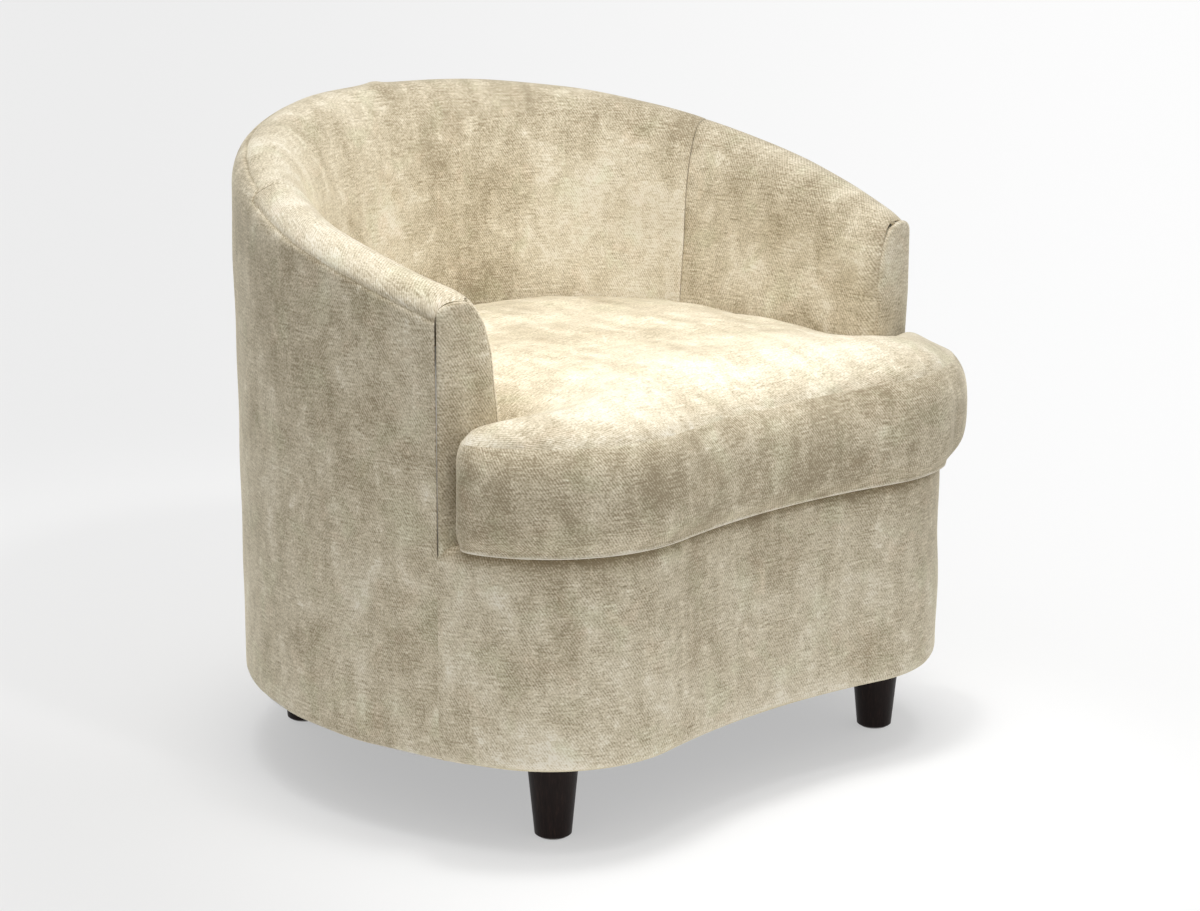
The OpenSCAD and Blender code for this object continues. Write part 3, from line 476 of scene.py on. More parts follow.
for number, run in enumerate(strap_runs):
    edge, inward, _ = tub_plan(np.array([run]))
    if abs(run) > QUARTER:
        arm = (abs(run) - QUARTER) / SIDE_R
        inward = np.array([[-math.copysign(math.cos(arm), run), math.sin(arm)]])
    sideways = np.array([-inward[0][1], inward[0][0]])
    foot = edge[0] + inward[0] * strap_depth
    top = rim_height(foot[1]) - RAIL_DROP - 0.001
    heights = np.linspace(STRAP_Z + 0.001, top, 40)
    widths = np.array((-1, 1, 1, -1)) * STRAP_W / 2 * 0.995
    depths = np.array((0.0001, 0.0001, STRAP_T - 0.0001, STRAP_T - 0.0001))
    flat = foot + widths[:, None] * sideways + depths[:, None] * inward[0]
    strap_uv = spread(widths + STRAP_W / 2, heights[:, None])
    straps.append(bar(f"strap_{number}", upright(flat, heights[:, None]), webbing.owner, strap_uv))
stands_for(joined("webbing", straps), "chair", "webbing", 1.0, "webbing_straps")

# Seat deck: a sheet of grey felt on the springs, a slab of foam, and the deck cloth over it, all cut to
# the seat's T shape. The deck cloth is stapled at the back and sewn to the front panel's lip.
FRONT_REACH, FRONT_DIP, CORNER_R = 0.3035, 0.0195, 0.150
CORNER_TURN = math.asin((FRONT_REACH - CORNER_R) / (SIDE_R - CORNER_R))
CORNER_X = SIDE_X + (SIDE_R - CORNER_R) * math.cos(CORNER_TURN)
CORNER_UP = FRONT_REACH - CORNER_R
DIP_UP = CORNER_UP - (FRONT_REACH - FRONT_DIP)
DIP_R = (CORNER_X ** 2 + DIP_UP ** 2 - CORNER_R ** 2) / (2 * (CORNER_R + DIP_UP))
DIP_TURN = math.asin(CORNER_X / (DIP_R + CORNER_R))
DIP_Y = BACK_Y - CORNER_UP - math.sqrt((DIP_R + CORNER_R) ** 2 - CORNER_X ** 2)
LIP_R, LIP_W = 0.012, 0.040


def arc(x, y, radius, start, stop, count=60):
    """Points on a circle between two angles."""
    turn = np.linspace(start, stop, count)
    return np.stack((x + radius * np.cos(turn), y + radius * np.sin(turn)), -1)


def mirrored_loop(half):
    """A closed outline from its right half, which starts and ends on the middle line."""
    return np.concatenate((half, (half[::-1] * (-1, 1))[1:-1]))


def evenly(line, count, closed=False):
    """A polyline cut into steps of even length."""
    line = np.concatenate((line, line[:1])) if closed else line
    run = np.concatenate(([0], np.cumsum(np.linalg.norm(np.diff(line, axis=0), axis=1))))
    stops = np.linspace(0, run[-1], count + 1 if closed else count)
    out = np.stack([np.interp(stops, run, line[:, k]) for k in range(line.shape[1])], -1)
    return out[:-1] if closed else out


def sewn_steps(length, pitch=0.004):
    """Distances from 0 to a length: close together by the two sewn edges and even between them."""
    close = np.array((0, 0.0007, 0.0015, 0.0024, 0.0036, 0.0054))
    count = max(int((length - 2 * close[-1]) / pitch), 2)
    between = np.linspace(close[-1], length - close[-1], count + 1)[1:-1]
    return np.concatenate((close, between, length - close[::-1]))


def front_plan():
    """Plan of the front from the left arm's seam to the right one's: the arm's arc, the round corner,
    and the hollow middle, then the same mirrored. Inward directions turn from the arm front's to square
    with the edge by the corner."""
    on_side = sewn_steps((CORNER_TURN - SEAM_TURN) * SIDE_R) / SIDE_R + SEAM_TURN
    share = (on_side - SEAM_TURN) / (CORNER_TURN - SEAM_TURN)
    lean = PANEL_TURN * (1 - share) - CORNER_TURN * share
    side = np.c_[SIDE_X + SIDE_R * np.cos(on_side), BACK_Y - SIDE_R * np.sin(on_side),
                 -np.cos(lean), -np.sin(lean)]
    turn = np.linspace(-CORNER_TURN, -math.pi / 2 - DIP_TURN, 62)[1:]
    corner = np.c_[arc(CORNER_X, BACK_Y - CORNER_UP, CORNER_R, turn[0], turn[-1], len(turn)),
                   -np.cos(turn), -np.sin(turn)]
    turn = np.linspace(math.pi / 2 - DIP_TURN, math.pi / 2, 46)[1:]
    middle = np.c_[arc(0, DIP_Y, DIP_R, turn[0], turn[-1], len(turn)), np.cos(turn), np.sin(turn)]
    half = np.concatenate((side, corner, middle))
    return np.concatenate((half * (-1, 1, -1, 1), half[-2::-1]))


def deck_outline(inset):
    """The seat's T shape inside the well and behind the front lip, inset by a clearance."""
    x = WELL_R - inset
    y = RIM_FRONT_Y - ROLL_W * math.sin(PANEL_TURN) - 2 * (CLOTH_T + GAP) - inset
    plan = front_plan()
    edge = plan[:, :2] + plan[:, 2:] * (LIP_W + GAP)
    edge = edge[(edge[:, 0] >= 0) & (edge[:, 1] < y)]
    edge = edge[np.argsort(edge[:, 0])][::-1]
    ear = edge[:1] * (1, 0) + (0, y)
    return mirrored_loop(np.concatenate((arc(0, BACK_Y, x, math.pi / 2, 0, 90), [(x, y)], ear, edge)))


def distances(points, others):
    """The distance in plan from each point to each of the others."""
    return np.sqrt(((points[:, None] - others) ** 2).sum(-1))


def inside(points, outline, margin):
    """Which points lie inside a closed outline and at least a margin from it: a ray's crossings are
    counted, and the distance is measured to the outline's points."""
    a, b = outline, np.roll(outline, -1, 0)
    x, y = points[:, :1], points[:, 1:]
    rise = np.where(b[:, 1] == a[:, 1], 1e-12, b[:, 1] - a[:, 1])
    crossing = ((a[:, 1] > y) != (b[:, 1] > y)) & (x < (b[:, 0] - a[:, 0]) * (y - a[:, 1]) / rise + a[:, 0])
    return (crossing.sum(1) % 2 == 1) & (distances(points, outline).min(1) > margin)


def filled(rim, pitch):
    """An outline filled with even triangles: the inner points, a lattice, and the faces, anticlockwise
    from above, that join them to the rim's points, which come first."""
    low, high = rim.min(0), rim.max(0)
    x, y = np.meshgrid(np.arange(low[0], high[0], pitch), np.arange(low[1], high[1], pitch * 0.866))
    x = x + np.where(np.arange(len(x))[:, None] % 2, pitch / 2, 0)
    lattice = np.stack((x.ravel(), y.ravel()), -1)
    lattice = lattice[inside(lattice, rim, pitch * 0.7)]
    everything = np.concatenate((rim, lattice))
    edges = [(k, (k + 1) % len(rim)) for k in range(len(rim))]
    found = delaunay_2d_cdt([Vector(p) for p in everything.tolist()], edges, [], 1, 1e-7)
    if len(found[0]) != len(everything):
        raise ValueError("an outline's lattice met its rim")
    return lattice, np.array(found[2])


def rounded(line, times):
    """A closed line, or values along it: each entry moves to the mean of itself and its neighbours."""
    for _ in range(times):
        line = (np.roll(line, 1, 0) + 2 * line + np.roll(line, -1, 0)) / 4
    return line


def outward_of(line):
    """Unit outward directions of an anticlockwise closed line."""
    step = np.roll(line, -1, 0) - np.roll(line, 1, 0)
    out = np.stack((step[:, 1], -step[:, 0]), -1)
    return out / np.linalg.norm(out, axis=1, keepdims=True)


def slab(name, outline, bottom, top, material, round_off, pitch=0.014, crowned=None):
    """A flat or crowned layer with rounded edges: its edge is the outline carried up in rings, and its
    faces are filled with even triangles. crowned gives the top's rise at places in plan."""
    ahead = np.roll(outline, -1, 0)
    area = (outline[:, 0] * ahead[:, 1] - outline[:, 1] * ahead[:, 0]).sum()
    outline = outline if area > 0 else outline[::-1]
    outward = outward_of(outline)
    r = min(round_off, (top - bottom) / 2)
    turns = np.radians((-90, -45, 0, 0, 45, 90))
    drawn = r * (1 - np.cos(turns))
    heights = np.array([bottom + r] * 3 + [top - r] * 3) + r * np.sin(turns)
    rings = np.stack([np.c_[outline - outward * d, np.full(len(outline), z)] for d, z in zip(drawn, heights)])
    lattice, triangles = filled(rings[0][:, :2], pitch)
    rise = crowned(lattice) if crowned else np.zeros(len(lattice))
    n, m = len(outline), len(lattice)
    flat = np.c_[lattice, np.full(m, bottom)]
    points = np.concatenate((rings.reshape(-1, 3), flat, np.c_[lattice, top + rise]))
    lower = np.concatenate((np.arange(n), 6 * n + np.arange(m)))
    upper = np.concatenate((5 * n + np.arange(n), 6 * n + m + np.arange(m)))
    faces = list(quads(6, n, around=True)[:, ::-1]) + list(lower[triangles[:, ::-1]]) + list(upper[triangles])
    piece = show(name, points, faces, points[:, :2])
    piece.data.materials.append(material)
    return piece


felt = fibrous("grey_felt", (0.30, 0.29, 0.265), (0.12, 0.115, 0.105), 700, (1, 1, 1))
foam = fibrous("foam", (0.86, 0.78, 0.58), (0.66, 0.58, 0.40), 900, (1, 1, 1), 0.9, 0.5)
DECK_GAP = 0.0022
deck_line = evenly(deck_outline(DECK_GAP), 260, closed=True)
deck_felt = slab("deck_felt_sheet", deck_line, FELT_Z + 0.0002, FELT_Z + 0.0048, felt, 0.0015)
deck_foam = slab("deck_foam_slab", deck_line, FELT_Z + 0.0055, DECK_Z - CLOTH_T - 0.0006, foam, 0.002)
canvas, CANVAS_PITCH = new_look("deck_cloth"), 0.0016
deck_place = canvas.cloth()
deck_across, deck_down = (canvas.wave(canvas.part(deck_place, axis), CANVAS_PITCH) for axis in (0, 1))
deck_weave = deck_across * deck_down
deck_tone = deck_weave * 0.2 + canvas.noise(deck_place, 500, 4, 0.7) * 0.7 + 0.15
canvas.surface({
    "Base Color": canvas.mix(deck_tone, (0.36, 0.31, 0.235), (0.52, 0.46, 0.36)), "Roughness": 0.9,
    "Specular IOR Level": 0.2, "Normal": canvas.bump(0.6, 0.0004, deck_weave)})
deck_cloth = slab("deck_cloth", deck_line, DECK_Z - CLOTH_T, DECK_Z, canvas.owner, 0.0007, 0.010)
stands_for(deck_felt, "chair", "felt", 0.9, "deck_felt")
stands_for(deck_foam, "chair", "foam", 0.9, "deck_foam")
stands_for(deck_cloth, "chair", "velvet", 0.9, "deck_cover")

# Padding of the tub: foam in the wall below the top rail, a rolled edge over it, padding over the front
# board, and a sheet of wadding on the outside over a fibreboard shell. Each is one long bar.
UNDER = CLOTH_T + GAP + 0.0034
FOAM_IN, LAYER_GAP = 0.056, 0.001
WADDING_IN, BOARD_IN, FOAM_SHORT = 0.0062, 0.0106, 0.036


def tub_bar(name, start, stop, section, material, node, slot):
    """A bar of padding along the tub's plan. section gives, from the wall's depth and the shoulder's
    sizes, the depths, heights and rim flags of its outline, in order round it."""
    along = np.linspace(start, stop, int(abs(stop - start) / 0.012))
    wall = tub_plan(along)[2][:, None]
    depths, heights, from_rim = section(wall, *shoulder(along))
    depths, heights = (
        np.concatenate([np.broadcast_to(part, (len(along), np.shape(part)[-1] if np.ndim(part) else 1))
                        for part in parts], 1) for parts in (depths, heights))
    piece = bar(name, uneven(set_in(along, depths, heights, np.array(from_rim)[None]), along), material)
    stands_for(piece, "chair", slot, 0.9, node)


def foam_section(wall, crest_in, drop):
    """Foam of the wall: from the felt up the face, under the roll and back to the straps."""
    turns = np.radians(np.linspace(24, 0, 6))
    over = np.minimum(ROLL_W, wall - FACE_LEAN)
    roll = crest_in + (over - crest_in - UNDER) * np.cos(turns)
    depths = (roll, wall - UNDER, wall - UNDER, FOAM_IN, FOAM_IN)
    heights = ((-ROLL_H + (ROLL_H - UNDER) * np.sin(turns))[None], FACE_TOP, FELT_Z + LAYER_GAP,
               FELT_Z + LAYER_GAP, -RAIL_DROP - 0.0015)
    return depths, heights, [1] * 6 + [0, 0, 0, 1]


def edge_section(wall, crest_in, drop):
    """Foam over the top rail: up the outer quarter, over the crest and down the roll."""
    out_turns, in_turns = np.radians(np.linspace(0, 90, 8)), np.radians(np.linspace(84, 26, 8))
    over = np.minimum(ROLL_W, wall - FACE_LEAN)
    depths = (UNDER, crest_in - (crest_in - UNDER) * np.cos(out_turns),
              crest_in + (over - crest_in - UNDER) * np.cos(in_turns), FOAM_IN)
    heights = (-RAIL_DROP + LAYER_GAP, -drop + (drop - UNDER) * np.sin(out_turns),
               (-ROLL_H + (ROLL_H - UNDER) * np.sin(in_turns))[None], -RAIL_DROP + LAYER_GAP)
    return depths, heights, [1] * 18


inner_end = ARM_END - FOAM_SHORT
tub_bar("wall_foam", -inner_end, inner_end, foam_section, foam, "inside_foam", "foam")
tub_bar("rolled_edge", -inner_end, inner_end, edge_section, foam, "rim_roll", "foam")
wadding = fibrous("wadding", (0.80, 0.79, 0.76), (0.62, 0.61, 0.58), 380, (1, 1, 0.6), 0.95, 1.2)


def wadding_section(wall, crest_in, drop):
    """A thin sheet behind the cover, from the base up to just below the rolled edge's foam."""
    foot, top = BASE_Z + LAYER_GAP, -RAIL_DROP - 0.0012
    return (UNDER, UNDER, WADDING_IN, WADDING_IN), (foot, top, top, foot), [0, 1, 1, 0]


tub_bar("outside_wadding_sheet", -ARM_END + 0.003, ARM_END - 0.003, wadding_section, wadding,
        "outside_wadding", "wadding")
fibreboard = fibrous("fibreboard", (0.36, 0.25, 0.145), (0.22, 0.15, 0.085), 800, (1, 1, 1), 0.85, 0.2)
dress(fibreboard, "outside_board")


def along_front(plan, depth, height):
    """A profile of depths and heights carried along the front's plan."""
    return upright(plan[:, None, :2] + plan[:, None, 2:] * depth[:, None], height)


plan = front_plan()
turns = np.radians(np.linspace(0, 90, 7))
seat_top = float(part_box("seat_ring")[1].z)
pad_foot, on_ring, pad_in = BASE_Z + LAYER_GAP, seat_top + 0.0006, LIP_W - 0.001
pad_depth = np.array([UNDER, *(LIP_R - (LIP_R - UNDER) * np.cos(turns)), pad_in, pad_in, BOARD_IN, BOARD_IN])
pad_height = np.array([pad_foot, *(DECK_Z - LIP_R + (LIP_R - UNDER) * np.sin(turns)), DECK_Z - UNDER,
                       on_ring, on_ring, pad_foot])
front_pad = bar("front_pad", along_front(plan[1:-1], pad_depth, pad_height), foam)
stands_for(front_pad, "chair", "foam", 0.9, "front_padding")

# Each arm's end is rounded in by so much at its inner side, over a short run of the arm. The flat face at
# the right arm's end runs across one way and looks ahead the other; the left arm's mirrors it.
END_SOFT, END_DEPTH, END_RUN = 0.012, 0.075, 0.030
FACE_ACROSS = np.array((-math.cos(PANEL_TURN), -math.sin(PANEL_TURN)))
FACE_AHEAD = np.array((math.sin(PANEL_TURN), -math.cos(PANEL_TURN)))


def soft_end(depth):
    """How far the arm's end is rounded in at a depth in the wall: not at all at its outer side."""
    return END_SOFT * np.clip(depth / END_DEPTH, 0, 1)


def arm_chords(side, foot, inset):
    """The arm front's outline as two lines from a foot height up to the crest: the outer side with the
    rim's outer quarter, and the inner side with the roll, eased; each in depth and height."""
    edge, inward, wall = (part[0] for part in tub_plan(np.array([side * ARM_END])))
    over = min(ROLL_W, wall - FACE_LEAN)
    share = np.linspace(0, 1, 300)
    turn = share * math.pi / 2

    def crest(depth):
        return rim_height(edge[1] + inward[1] * depth)

    bow = CREST_IN - (CREST_IN - inset) * np.cos(turn)
    outer = np.concatenate((np.stack((inset + 0 * share, foot + share * (crest(0) - SEAM_DROP - foot)), -1),
                            np.stack((bow, crest(bow) - SEAM_DROP + (SEAM_DROP - inset) * np.sin(turn)), -1)))
    bow = CREST_IN + (over - CREST_IN - inset) * np.cos(turn)
    roll = np.stack((bow, crest(bow) - ROLL_H + (ROLL_H - inset) * np.sin(turn)), -1)
    lower = np.stack((wall - inset + 0 * share, foot + share * (FACE_TOP - foot)), -1)
    inner = evenly(np.concatenate((lower, lower[-1:] + (roll[:1] - lower[-1:]) * share[:, None], roll)), 200)
    for _ in range(40):
        inner[1:-1] = (inner[:-2] + 2 * inner[1:-1] + inner[2:]) / 4
    lines = []
    for line, sign in ((evenly(outer, 200), 1), (inner, -1)):
        step = np.gradient(line, axis=0)
        step /= np.linalg.norm(step, axis=1, keepdims=True)
        into = sign * np.stack((step[:, 1], -step[:, 0]), -1)
        lines.append(line + into * soft_end(line[:, 0])[:, None])
    return edge, inward, *lines


for side, name in ((-1, "left"), (1, "right")):
    edge, inward, outer, inner = arm_chords(side, seat_top + LAYER_GAP, 0.0045)
    ahead = FACE_AHEAD * (side, 1)
    rows = np.linspace(0, 197, 34).astype(int)
    outer, inner = outer[rows], inner[rows] - (0.002, 0)
    front, behind = 0.0006, 0.0052
    corners = ((outer, front), (inner, front), (inner, behind), (outer, behind))
    grid = np.stack([upright(edge + inward * line[:, :1] - ahead * back, line[:, 1])
                     for line, back in corners], 1)
    stands_for(bar(f"arm_front_pad_{name}", grid, foam), "chair", "foam", 0.9, f"arm_pad_{name}")

# Covers of the tub: a mottled beige chenille velvet with a fine slanting twill, worn to paler patches.
# The outside is three panels that end at the rim's outer seam and curl under the base; the inside is
# three panels that come up from the deck, over the roll and down to that seam.
TWILL_PITCH = 0.0026


def velvet(name):
    """The cover cloth. Its tone is a sum of noises on the cloth's own places: blotches and clouds, faint
    upright streaks, small ragged patches, worn places, level slubs that come in clusters, grain, and a
    twill whose ribs lean; painted light and shade, written on each piece's points, shifts it further.
    Colour turns from olive brown to cream with the tone, and sheen lights its edges."""
    look = new_look(name)
    place = look.cloth()
    u, v = look.part(place, 0), look.part(place, 1)
    blotch = look.noise(place, 10, 3, 0.55, 0.4)
    cloud = look.noise(look.stretched(place, (1, 0.6, 1)), 30, 5, 0.62, 0.8)
    streak = look.noise(look.stretched(place, (1, 0.2, 1)), 48, 2, 0.5, 0.3)
    ragged = look.noise(look.stretched(place, (0.8, 1, 1)), 78, 4, 0.68, 0.6)
    worn = cloud.between(0.54, 0.67) * ragged.between(0.40, 0.60)
    slub = look.noise(look.stretched(place, (0.14, 1, 1)), 380, 2, 0.6)
    clustered = look.noise(place, 52, 2, 0.5).between(0.40, 0.62, 0.30, 1.0)
    grain = look.noise(place, 400, 2, 0.6)
    rib = (u * (2 * math.pi * 0.839 / TWILL_PITCH) + v * (2 * math.pi * 0.545 / TWILL_PITCH)
           + (grain - 0.5) * 3.0).math("SINE")
    weave = rib * look.noise(place, 70, 2, 0.5).between(0.35, 0.65, 0.35, 1.0)
    broad = ((blotch - 0.5) * 0.7 + (cloud - 0.5) * 0.75 + (streak - 0.5) * 0.35
             + (ragged - 0.5) * 0.55 + worn * 0.12)
    fine = (grain - 0.5) * 1.35 + (slub - 0.5) * clustered * 1.1 + weave * 0.17
    # Painted light and shade, written on each piece's points, lift or darken the cloth's tone.
    painted_shading = look.node("Attribute", {"attribute_name": "painted_shading"}, output=2)
    tone = broad + fine + painted_shading + 0.49
    colour = look.ramp(
        tone, (0.08, (0.32, 0.262, 0.172)), (0.34, (0.475, 0.408, 0.288)), (0.54, (0.605, 0.530, 0.392)),
        (0.74, (0.715, 0.643, 0.495)), (0.96, (0.82, 0.765, 0.645)))
    green = look.noise(place, 19, 2, 0.5, 0.5).between(0.52, 0.70)
    pink = look.noise(place, 23, 2, 0.5, 0.8).between(0.56, 0.74)
    colour = look.mix(green * 0.35, colour, (0.94, 1.03, 0.96), "MULTIPLY")
    colour = look.mix(pink * 0.30, colour, (1.05, 0.97, 0.95), "MULTIPLY")
    height = grain * 0.6 + slub * 0.5 + weave * 0.15
    return look.surface({
        "Base Color": colour, "Roughness": 0.86, "Specular IOR Level": 0.15, "Sheen Weight": 0.7,
        "Sheen Roughness": 0.34, "Sheen Tint": (1, 0.93, 0.75, 1), "Normal": look.bump(0.6, 0.0008, height)})


cover_cloth = velvet("beige_velvet")


def write_painted_shading(piece, painted_shading):
    """Writes on a piece's points the painted light and shade there: above 0 paler, below 0 darker."""
    layer = piece.data.attributes.new("painted_shading", "FLOAT", "POINT")
    count = len(piece.data.vertices)
    layer.data.foreach_set("value", np.broadcast_to(np.asarray(painted_shading, np.float32).ravel(), count).copy())


def runs(grid):
    """Distance along each row of a grid from its first point, and the same down each column."""
    across = np.linalg.norm(np.diff(grid, axis=0), axis=2)
    down = np.linalg.norm(np.diff(grid, axis=1), axis=2)
    return (np.concatenate((0 * across[:1], np.cumsum(across, 0))),
            np.concatenate((0 * down[:, :1], np.cumsum(down, 1)), 1))


def normals(grid):
    """Unit normals of a grid, along the cross product of its two directions."""
    out = np.cross(np.gradient(grid, axis=0), np.gradient(grid, axis=1))
    return out / np.maximum(np.linalg.norm(out, axis=2, keepdims=True), 1e-12)


def eased_rows(grid, times):
    """Rounds the corners of each row: every inner point moves to the mean of itself and its neighbours."""
    for _ in range(times):
        grid[:, 1:-1] = (grid[:, :-2] + 2 * grid[:, 1:-1] + grid[:, 2:]) / 4
    return grid


def refit_rows(grid, fractions):
    """Each row cut anew at fractions of its own length."""
    _, down = runs(grid)
    out = np.empty((len(grid), len(fractions), 3))
    for row, (line, run) in enumerate(zip(grid, down)):
        for axis in range(3):
            out[row, :, axis] = np.interp(fractions * run[-1], run, line[:, axis])
    return out


def sewn_fractions(grid, pitch=0.004):
    """Fractions of a row's length at which a sewn panel's points lie, for rows of about one length."""
    length = runs(grid)[1][:, -1].mean()
    return sewn_steps(length, pitch) / length


def swell(place, size, seed):
    """Soft hills about a size across, from about -1 to 1: six waves in random directions, added."""
    dice = np.random.default_rng(seed)
    turn, shift = dice.uniform(0, 2 * math.pi, (2, 6))
    stretch = dice.uniform(0.7, 1.5, 6)
    wave = sum(np.sin((place[..., 0] * math.cos(t) + place[..., 1] * math.sin(t)) * math.pi / size * k + s)
               for t, s, k in zip(turn, shift, stretch))
    return wave / 3.4


def covered(piece):
    """Gives a cover panel its cloth and the cloth's wall."""
    wall = piece.modifiers.new("cloth wall", "SOLIDIFY")
    wall.thickness, wall.offset = CLOTH_T, -1
    piece.data.materials.append(cover_cloth)


# A sewn edge sinks in over this width, most at the rim's seam, and painted shade darkens the cloth in the
# seam.
SEAM_SPREAD, MOST_SUNK, SEAM_SHADE = 0.0032, 1.35, 0.045
LONG_HILL, SHORT_HILL, CALM_EDGE = 0.11, 0.055, 0.02
# Each panel is cut from its own place on the cloth: its seed times this far along.
CUT_STEP = 0.37
# The seams lie so far along the plan from the middle of the back. The foot curls under at this radius.
INSIDE_SEAM, OUTSIDE_SEAM = math.radians(68) * BACK_R, math.radians(37.5) * BACK_R
FOOT_CURL, FOOT_DROP = 0.012, 0.001


def upholster(name, node, grid, uv, sewn, ripple, seed, painted_shading, dip=0.0012):
    """A panel of cover cloth on a grid of points: it sinks in at its sewn edges, and low hills run over
    it. sewn is the share of the sinking at the first row, last row, first column and last column."""
    across, down = runs(grid)
    outward = normals(grid)
    from_edges = (across, across[-1:] - across, down, down[:, -1:] - down)
    sink = sum(share * bell(distance, SEAM_SPREAD) for share, distance in zip(sewn, from_edges))
    sink = np.minimum(sink, MOST_SUNK)
    calm = 1 - np.exp(-np.minimum.reduce(np.broadcast_arrays(*from_edges)) / CALM_EDGE)
    hills = swell(uv, SHORT_HILL, seed) * 0.6 + swell(uv, LONG_HILL, seed + 50)
    grid = grid + outward * (hills * ripple * calm - sink * dip)[..., None]
    piece = show(name, grid, list(quads(*grid.shape[:2])), uv)
    # Painted shade darkens the cloth where its edges sink into the seams.
    write_painted_shading(piece, painted_shading - SEAM_SHADE * sink ** 6)
    covered(piece)
    stands_for(piece, "chair", "velvet", 0.9, node)


def crest_drop(along):
    """How far the outer rim seam lies below the crest: less round the back than along the arms, with a
    step where the inside seams cross the rim."""
    run = np.abs(along)
    on_arm = np.clip((run - INSIDE_SEAM + 0.003) / 0.006, 0, 1)
    front = np.clip((run - QUARTER) / (ARM_END - QUARTER), 0, 1)
    return 0.010 + on_arm * 0.010 + 0.005 * front ** 2


def foot_curl():
    """Depths and heights of a cover's foot: from under the base round a quarter circle to the upright."""
    turns = np.radians(np.linspace(0, 90, 9))
    depth = np.concatenate(([0.022], FOOT_CURL * (1 - np.sin(turns))))
    height = np.concatenate(([0], FOOT_CURL * (1 - np.cos(turns)))) + BASE_Z - FOOT_DROP
    return depth, height


def outer_curl(along, drop):
    """The rim's outer quarter from a seam so far below the crest up to the crest: a quarter ellipse, as
    depth and height for each seam depth. A seam lower than the ellipse lies on the upright face."""
    crest_in, tall = shoulder(along)
    start = np.arcsin(np.clip(1 - drop[:, None] / tall, 0, 1))
    turn = start + (math.pi / 2 - start) * np.linspace(0, 1, 14)
    depth, height = crest_in * (1 - np.cos(turn)), tall * (np.sin(turn) - 1)
    height[:, 0] = -drop
    return depth, height


def outside_panel(name, node, start, stop, seed):
    """An outside panel between two distances along the plan, as seen from outside. Its rows climb from
    under the base, round a small curl, up the upright face and over the rim's edge to the seam."""
    along = start + np.sign(stop - start) * sewn_steps(abs(stop - start))
    drop = crest_drop(along)[:, None]
    crest_in, tall = shoulder(along)
    n = len(along)
    top_turn = np.arcsin(np.clip(1 - drop / tall, 0, 1)) * np.linspace(0, 1, 10)
    depth_top, height_top = crest_in * (1 - np.cos(top_turn)), tall * (np.sin(top_turn) - 1)
    height_top = height_top - np.maximum(drop - tall, 0)
    foot_depth, foot_height = foot_curl()
    foot = set_in(along, np.tile(foot_depth, (n, 1)), np.tile(foot_height, (n, 1)), 0)
    top = set_in(along, depth_top, height_top, 1)
    grid = np.concatenate((foot, top), 1)
    grid = uneven(refit_rows(grid, sewn_fractions(grid)), along)
    uv = spread(np.abs(along - along[0])[:, None], grid[..., 2]) + seed * CUT_STEP
    at_arm_end = [0.1 if abs(end) > INSIDE_SEAM else 1 for end in (start, stop)]
    right_end_painted_sheen = np.clip((along[:, None] - ARM_END + 0.10) / 0.06, 0, 1)
    # Painted light and shade: darker upward and paler toward the foot, where light from the floor falls, with
    # a painted sheen by the right arm's end.
    painted_shading = 0.05 - 0.20 * (grid[..., 2] - BASE_Z) + 0.22 * right_end_painted_sheen
    upholster(name, node, grid, uv, (*at_arm_end, 0, MOST_SUNK), 0.0010, seed, painted_shading)


SLIT = 0.0004
outside_panel("outside_back", "outside_back_cover", OUTSIDE_SEAM - SLIT, -OUTSIDE_SEAM + SLIT, 3)
outside_panel("outside_arm_left", "outside_arm_cover_left", -OUTSIDE_SEAM - SLIT, -ARM_END, 4)
outside_panel("outside_arm_right", "outside_arm_cover_right", ARM_END, OUTSIDE_SEAM + SLIT, 5)


def inside_panel(name, node, start, stop, seed, face_painted_shading, rim_painted_shading):
    """An inside panel between two distances along the plan, as seen from the seat. Its rows climb from
    below the deck up the upright face, over the roll, which is a quarter ellipse, and down to the seam.
    Painted light and shade are given for the face and for the rim."""
    along = start + sewn_steps(stop - start)
    edge, _, wall = tub_plan(along)
    wall = wall[:, None]
    crest_in, tall = shoulder(along)
    back = (tall - SEAM_DROP) / BACK_LOWER
    over = np.minimum(ROLL_W + BACK_ROLL_WIDER * back, wall - FACE_LEAN)
    roll_h = ROLL_H + BACK_ROLL_LOWER * back
    rise = np.linspace(FELT_Z, FACE_TOP, 40)[None] + 0 * wall
    face = set_in(along, wall + 0 * rise, rise, 0)
    turn = np.radians(np.linspace(0, 90, 26))[None]
    roll = set_in(along, crest_in + (over - crest_in) * np.cos(turn), roll_h * (np.sin(turn) - 1), 1)
    lean = np.linspace(0, 1, 30)[1:-1]
    between = face[:, -1:] + (roll[:, :1] - face[:, -1:]) * lean[None, :, None]
    depth, height = outer_curl(along, crest_drop(along))
    curl = set_in(along, depth[:, ::-1], height[:, ::-1], 1)
    grid = np.concatenate((face, between, roll, curl[:, 1:]), 1)
    even = refit_rows(grid, np.linspace(0, 1, 140))
    grid = uneven(refit_rows(eased_rows(even, 22), sewn_fractions(grid, 0.0035)), along)
    in_wall = np.linalg.norm(grid[..., :2] - edge[:, None], axis=2)
    from_end = np.clip(1 - (ARM_END - np.abs(along)) / END_RUN, 0, 1) ** 2
    grid = grid - normals(grid) * (soft_end(in_wall) * from_end[:, None])[..., None]
    middle = (BACK_R - 0.5 * WALL) / BACK_R
    uv = spread(along[:, None] * middle, runs(grid)[1]) + seed * CUT_STEP
    on_face = np.clip((rim_height(grid[..., 1]) - 0.02 - grid[..., 2]) / RIM_BAND, 0, 1)
    face_painted_shading, rim_painted_shading = (np.interp(along, *shading_table)[:, None] for shading_table in (face_painted_shading, rim_painted_shading))
    painted_shading = on_face * face_painted_shading + (1 - on_face) * rim_painted_shading
    upholster(name, node, grid, uv, (1, 1, 0, MOST_SUNK), 0.0012, seed, painted_shading)
